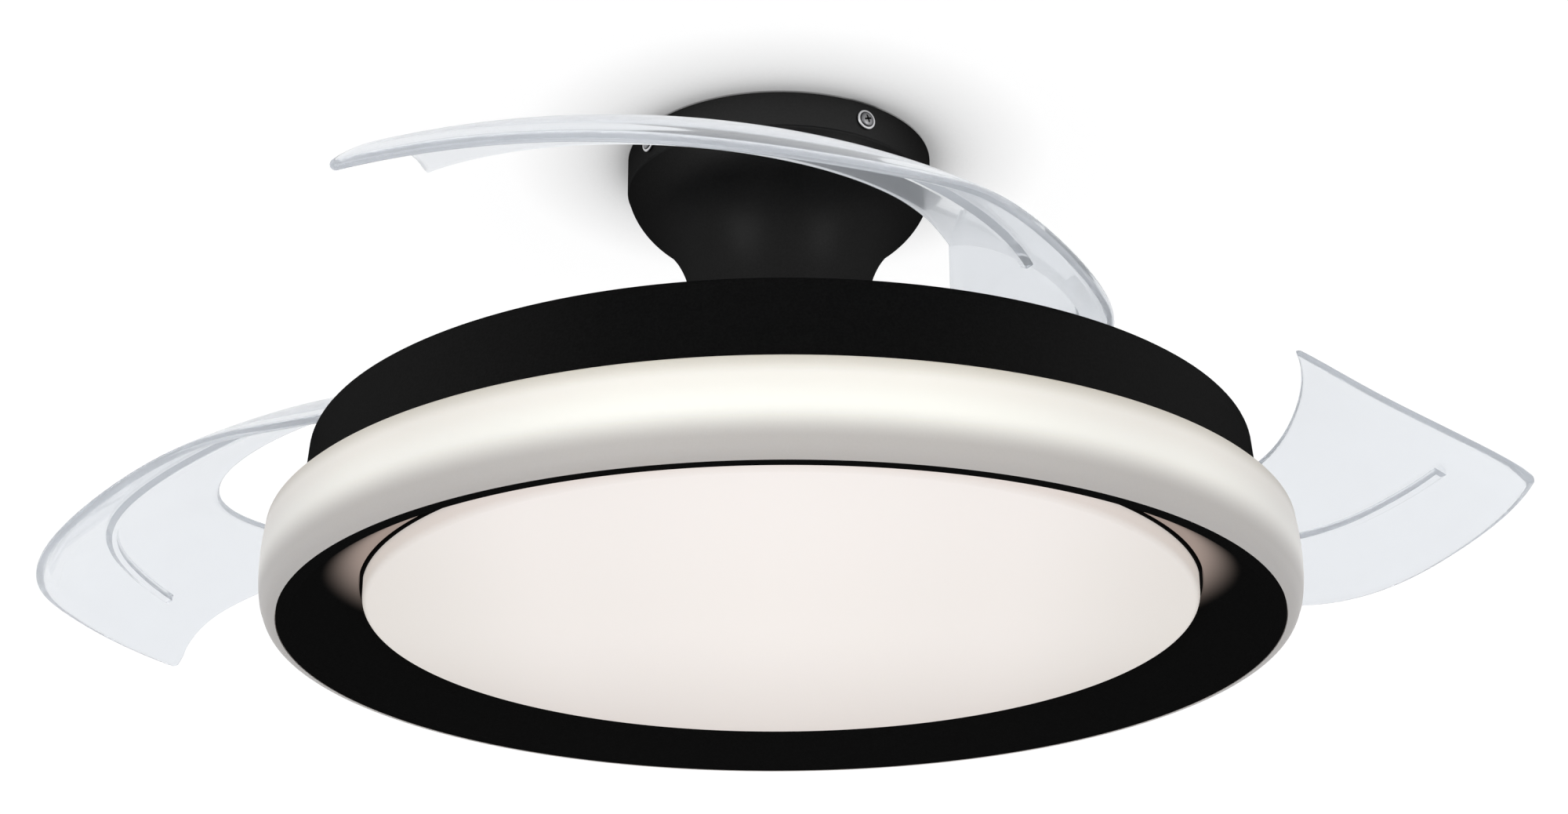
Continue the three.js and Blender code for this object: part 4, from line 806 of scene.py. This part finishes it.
def sheet_mesh(name):
    """The blade's curved sheet with rounded edges."""
    rows = blade_steps(96, BLADE_LENGTH, END_ROUND)
    columns = blade_steps(26, BLADE_WIDTH, SIDE_ROUND)
    grid = {}
    verts, faces = [], []
    for i, s in enumerate(rows):
        for j, t in enumerate(columns):
            n = blade_normal(s, t)
            full = sheet_thickness(t)
            middle = blade_top(s, t) - n * full / 2
            if i in (0, len(rows) - 1) or j in (0, len(columns) - 1):
                grid[i, j, 0] = grid[i, j, 1] = len(verts)
                verts.append(middle)
                continue
            half = full / 2 * (edge_rounding(min(t, 1 - t) * BLADE_WIDTH, SIDE_ROUND)
                               * edge_rounding(min(s, 1 - s) * BLADE_LENGTH, END_ROUND))
            grid[i, j, 0] = len(verts)
            verts.append(middle + n * half)
            grid[i, j, 1] = len(verts)
            verts.append(middle - n * half)
    for i in range(len(rows) - 1):
        for j in range(len(columns) - 1):
            for side in (0, 1):
                quad = [grid[i, j, side], grid[i + 1, j, side],
                        grid[i + 1, j + 1, side], grid[i, j + 1, side]]
                faces.append(quad if side else quad[::-1])
    obj = make_object(name, verts, faces, 60)
    fix_normals(obj)
    return obj


def loop_points(inset, steps=96):
    """Plan of the dropped root: a closed centripetal Catmull-Rom loop, as in the CAD source."""
    corners = [(PIVOT_R + x, y) for x, y in ROOT_LOOP]
    n = len(corners)
    out = []
    for k in range(steps):
        x = k / steps * n
        i = int(x)
        u = x - i
        p0, p1, p2, p3 = (np.array(corners[(i + d) % n], float) for d in (-1, 0, 1, 2))
        d0, d1, d2 = (max(np.linalg.norm(b - a) ** 0.5, 1e-6)
                      for a, b in ((p0, p1), (p1, p2), (p2, p3)))
        m1 = ((p1 - p0) / d0 - (p2 - p0) / (d0 + d1) + (p2 - p1) / d1) * d1
        m2 = ((p2 - p1) / d1 - (p3 - p1) / (d1 + d2) + (p3 - p2) / d2) * d1
        a = 2 * p1 - 2 * p2 + m1 + m2
        b = -3 * p1 + 3 * p2 - 2 * m1 - m2
        point = ((a * u + b) * u + m1) * u + p1
        heading = (3 * a * u + 2 * b) * u + m1
        heading = heading / np.linalg.norm(heading)
        out.append((point[0] - heading[1] * inset, point[1] + heading[0] * inset))
    return out


def column_mesh(name, z_foot):
    """Solid from the blade's top face straight down to a level."""
    rows = [i / 60 for i in range(61)]
    columns = [j / 20 for j in range(21)]
    n, m = len(rows), len(columns)
    verts = []
    for side in (0, 1):
        for s in rows:
            for t in columns:
                x, y, z = blade_top(s, t)
                verts.append((x, y, z_foot if side else z - 0.6))

    def vid(side, i, j):
        return side * n * m + i * m + j

    faces = []
    for i in range(n - 1):
        for j in range(m - 1):
            faces.append((vid(0, i, j), vid(0, i, j + 1), vid(0, i + 1, j + 1), vid(0, i + 1, j)))
            faces.append((vid(1, i, j), vid(1, i + 1, j), vid(1, i + 1, j + 1), vid(1, i, j + 1)))
        faces.append((vid(0, i, 0), vid(0, i + 1, 0), vid(1, i + 1, 0), vid(1, i, 0)))
        faces.append((vid(0, i, m - 1), vid(1, i, m - 1),
                      vid(1, i + 1, m - 1), vid(0, i + 1, m - 1)))
    for j in range(m - 1):
        faces.append((vid(0, 0, j), vid(1, 0, j), vid(1, 0, j + 1), vid(0, 0, j + 1)))
        faces.append((vid(0, n - 1, j), vid(0, n - 1, j + 1),
                      vid(1, n - 1, j + 1), vid(1, n - 1, j)))
    obj = make_object(name, verts, faces, 30)
    fix_normals(obj)
    return obj


def rib_mesh(name):
    """Bevelled rib under the sheet: flat foot, sloping sides, square ends."""
    steps = 72
    half = [(RIB_W / 2, -RIB_ROOT), (RIB_W / 2, 0.3), (RIB_W / 4, RIB_H - 0.4), (RIB_W / 5, RIB_H)]
    section = [(-x, y) for x, y in half] + half[::-1]
    sides = len(section)

    def path(u):
        s = RIB_FROM + (RIB_TO - RIB_FROM) * u
        t = rib_across(u)
        n = blade_normal(s, t)
        return blade_top(s, t) - n * SHEET_T, n

    verts = []
    for i in range(steps + 1):
        u = i / steps
        centre, n = path(u)
        ahead = path(min(u + 0.01, 1))[0] - path(max(u - 0.01, 0))[0]
        aside = np.cross(n, ahead)
        aside /= np.linalg.norm(aside)
        verts += [centre + aside * x - n * y for x, y in section]
    faces = [tuple(range(sides)), tuple(range(steps * sides, steps * sides + sides))[::-1]]
    for i in range(steps):
        for k in range(sides):
            a, b = i * sides + k, i * sides + (k + 1) % sides
            faces.append((a, a + sides, b + sides, b))
    obj = make_object(name, verts, faces, 25)
    fix_normals(obj)
    return obj


def folded_blade(name):
    """Sheet with its rib, the dropped cup of the root, the pivot boss and the stop's peg."""
    blade = sheet_mesh(name)
    apply_boolean(blade, rib_mesh("rib"), "UNION")
    hollow = loop_points(ROOT_WALL)
    apply_boolean(blade, prism("hollow", hollow, ROOT_TOP_Z, ROOT_TOP_Z + 60), "DIFFERENCE")
    cup = prism("cup", loop_points(0), ROOT_FOOT_Z, ROOT_TOP_Z + 58)
    apply_boolean(cup, prism("cup_hollow", hollow, ROOT_TOP_Z, ROOT_TOP_Z + 62), "DIFFERENCE")
    apply_boolean(cup, column_mesh("column", ROOT_FOOT_Z), "INTERSECT")
    apply_boolean(blade, cup, "UNION")
    boss = circle(PIVOT_R, 0, BOSS_R)
    apply_boolean(blade, prism("boss", boss, ROOT_FOOT_Z, BOSS_TOP_Z), "UNION")
    closed = math.radians(PEG_CLOSED - FOLD_SLACK)
    peg = circle(PIVOT_R + PEG_AT * math.cos(closed), PEG_AT * math.sin(closed), PEG_R)
    apply_boolean(blade, prism("peg", peg, CARRIER_FOOT_Z - 1, ROOT_FOOT_Z + 1), "UNION")
    bore = circle(PIVOT_R, 0, BORE_R)
    apply_boolean(blade, prism("bore", bore, ROOT_FOOT_Z - 1, BOSS_TOP_Z + 1), "DIFFERENCE")
    smooth_by_angle(blade, 28)
    return blade


template = folded_blade("blade_template")
for index, letter in enumerate("abc"):
    obj = template
    if letter != "c":
        obj = template.copy()
        obj.data = template.data.copy()
        bpy.context.scene.collection.objects.link(obj)
    obj.name = f"blade_skin_{letter}"
    place = Matrix.Rotation(math.radians(PIVOT_AZ + BLADE_AZ[index]), 4, "Z")
    sweep = Matrix.Rotation(math.radians(BLADE_SWEEPS[index] + FOLD_SLACK), 4, "Z")
    pivot = Matrix.Translation((PIVOT_R * MM, 0, 0))
    obj.data.transform(place @ pivot @ sweep @ pivot.inverted())
    skin(obj, CLEAR, f"blade_arm_{letter}", f"blade_{letter}")


# ---------------------------------------------------------------- ceiling, floor and light

def seen_directly(tree):
    """1 for camera, glossy and transmission rays, 0 for the rest."""
    rays = node(tree, "ShaderNodeLightPath").outputs
    either = calculate(tree, "MAXIMUM", rays["Is Camera Ray"], rays["Is Glossy Ray"])
    return calculate(tree, "MAXIMUM", either, rays["Is Transmission Ray"])


def stage_material(name, seen_level, level, colour, contact=None):
    """Pale stage that keeps shadows and reads as white when seen. With contact it gets a painted
    contact shadow within that distance of what touches it, and its back isn't seen."""
    material, tree = new_material(name)
    output = node(tree, "ShaderNodeOutputMaterial")
    diffuse = node(tree, "ShaderNodeBsdfDiffuse")
    diffuse.inputs["Color"].default_value = (*colour, 1)
    glow = node(tree, "ShaderNodeEmission")
    glow.inputs["Color"].default_value = (1, 1, 1, 1)
    add = node(tree, "ShaderNodeAddShader")
    links = tree.links
    strength = calculate(tree, "MULTIPLY_ADD", seen_directly(tree), seen_level - level, level)
    links.new(diffuse.outputs[0], add.inputs[0])
    links.new(glow.outputs[0], add.inputs[1])
    surface = add.outputs[0]
    if contact:
        # Painted contact shadow: ambient occlusion dims the glow near what touches the stage.
        near = node(tree, "ShaderNodeAmbientOcclusion", samples=12)
        near.inputs["Distance"].default_value = contact
        painted_contact_shadow = calculate(tree, "POWER", near.outputs["AO"], 2.0)
        strength = calculate(tree, "MULTIPLY", painted_contact_shadow, strength)
        mix = node(tree, "ShaderNodeMixShader")
        back = node(tree, "ShaderNodeNewGeometry").outputs["Backfacing"]
        clear = node(tree, "ShaderNodeBsdfTransparent")
        links.new(back, mix.inputs["Fac"])
        links.new(surface, mix.inputs[1])
        links.new(clear.outputs[0], mix.inputs[2])
        surface = mix.outputs[0]
    links.new(strength, glow.inputs["Strength"])
    links.new(surface, output.inputs["Surface"])
    return material


def stage_plane(name, z, up, material):
    """A wide level plane in metres, facing up or down."""
    half = 15.0
    corners = [(-half, -half, z), (half, -half, z), (half, half, z), (-half, half, z)]
    if not up:
        corners.reverse()
    mesh = bpy.data.meshes.new(name)
    mesh.from_pydata(corners, [], [(0, 1, 2, 3)])
    obj = bpy.data.objects.new(name, mesh)
    bpy.context.scene.collection.objects.link(obj)
    dress(obj, material)


def studio_world(level, seen_level):
    """Even white surroundings, brighter where they are seen than as a light."""
    world = bpy.data.worlds.new("studio")
    bpy.context.scene.world = world
    world.use_nodes = True
    tree = world.node_tree
    tree.nodes.clear()
    background = node(tree, "ShaderNodeBackground")
    background.inputs["Color"].default_value = (1, 1, 1, 1)
    output = node(tree, "ShaderNodeOutputWorld")
    pick = node(tree, "ShaderNodeMix", data_type="FLOAT")
    pick.inputs[2].default_value = level
    pick.inputs[3].default_value = seen_level
    tree.links.new(seen_directly(tree), pick.inputs[0])
    tree.links.new(pick.outputs[0], background.inputs["Strength"])
    tree.links.new(background.outputs[0], output.inputs["Surface"])


def area_light(name, location, size, power):
    """A rectangular lamp aimed at the middle of the fan."""
    target = (0, 0, -0.15)
    data = bpy.data.lights.new(name, "AREA")
    data.shape = "RECTANGLE"
    data.size, data.size_y = size
    data.energy = power
    obj = bpy.data.objects.new(name, data)
    bpy.context.scene.collection.objects.link(obj)
    turn = (Vector(target) - Vector(location)).to_track_quat("-Z", "Y").to_matrix().to_4x4()
    obj.matrix_world = Matrix.Translation(location) @ turn


# The ceiling gets a painted contact shadow round the canopy.
stage_plane("ceiling", 0.0006, False, stage_material("ceiling_white", 0.88, 0.3, grey(0.3), 0.064))
stage_plane("floor", -2.2, True, stage_material("floor_white", 0.8, 0.3, grey(0.5)))
studio_world(0.45, 1.0)
area_light("front_left", (-1.6, -2.0, -0.7), (1.4, 1.2), 10)
area_light("front_right", (1.9, -1.6, -0.5), (1.2, 1.2), 7)


# ---------------------------------------------------------------- camera

CAMERA_AT = (0.0, -1.3098, -0.675)
CAMERA_TURN = (22.33, -0.083, -0.337)    # pitch up, yaw and roll
FOCAL_SHARE = 3589.5 / 2000              # focal length over the frame's width
SENSOR = 36.0


def place_camera():
    pitch, yaw, roll = (math.radians(x) for x in CAMERA_TURN)
    ce, se, cy, sy = math.cos(pitch), math.sin(pitch), math.cos(yaw), math.sin(yaw)
    ahead = Vector((-sy * ce, cy * ce, se))
    right = Vector((cy, sy, 0))
    up = Vector((sy * se, -cy * se, ce))
    c, s = math.cos(roll), math.sin(roll)
    x_axis = right * c + up * s
    y_axis = up * c - right * s
    data = bpy.data.cameras.new("camera")
    data.sensor_fit = "HORIZONTAL"
    data.sensor_width = SENSOR
    data.lens = FOCAL_SHARE * SENSOR
    data.clip_start = 0.02
    data.clip_end = 100.0
    obj = bpy.data.objects.new("camera", data)
    bpy.context.scene.collection.objects.link(obj)
    rotation = Matrix((x_axis, y_axis, -ahead)).transposed().to_4x4()
    obj.matrix_world = Matrix.Translation(CAMERA_AT) @ rotation
    bpy.context.scene.camera = obj


place_camera()
bpy.context.scene.view_settings.view_transform = "Standard"
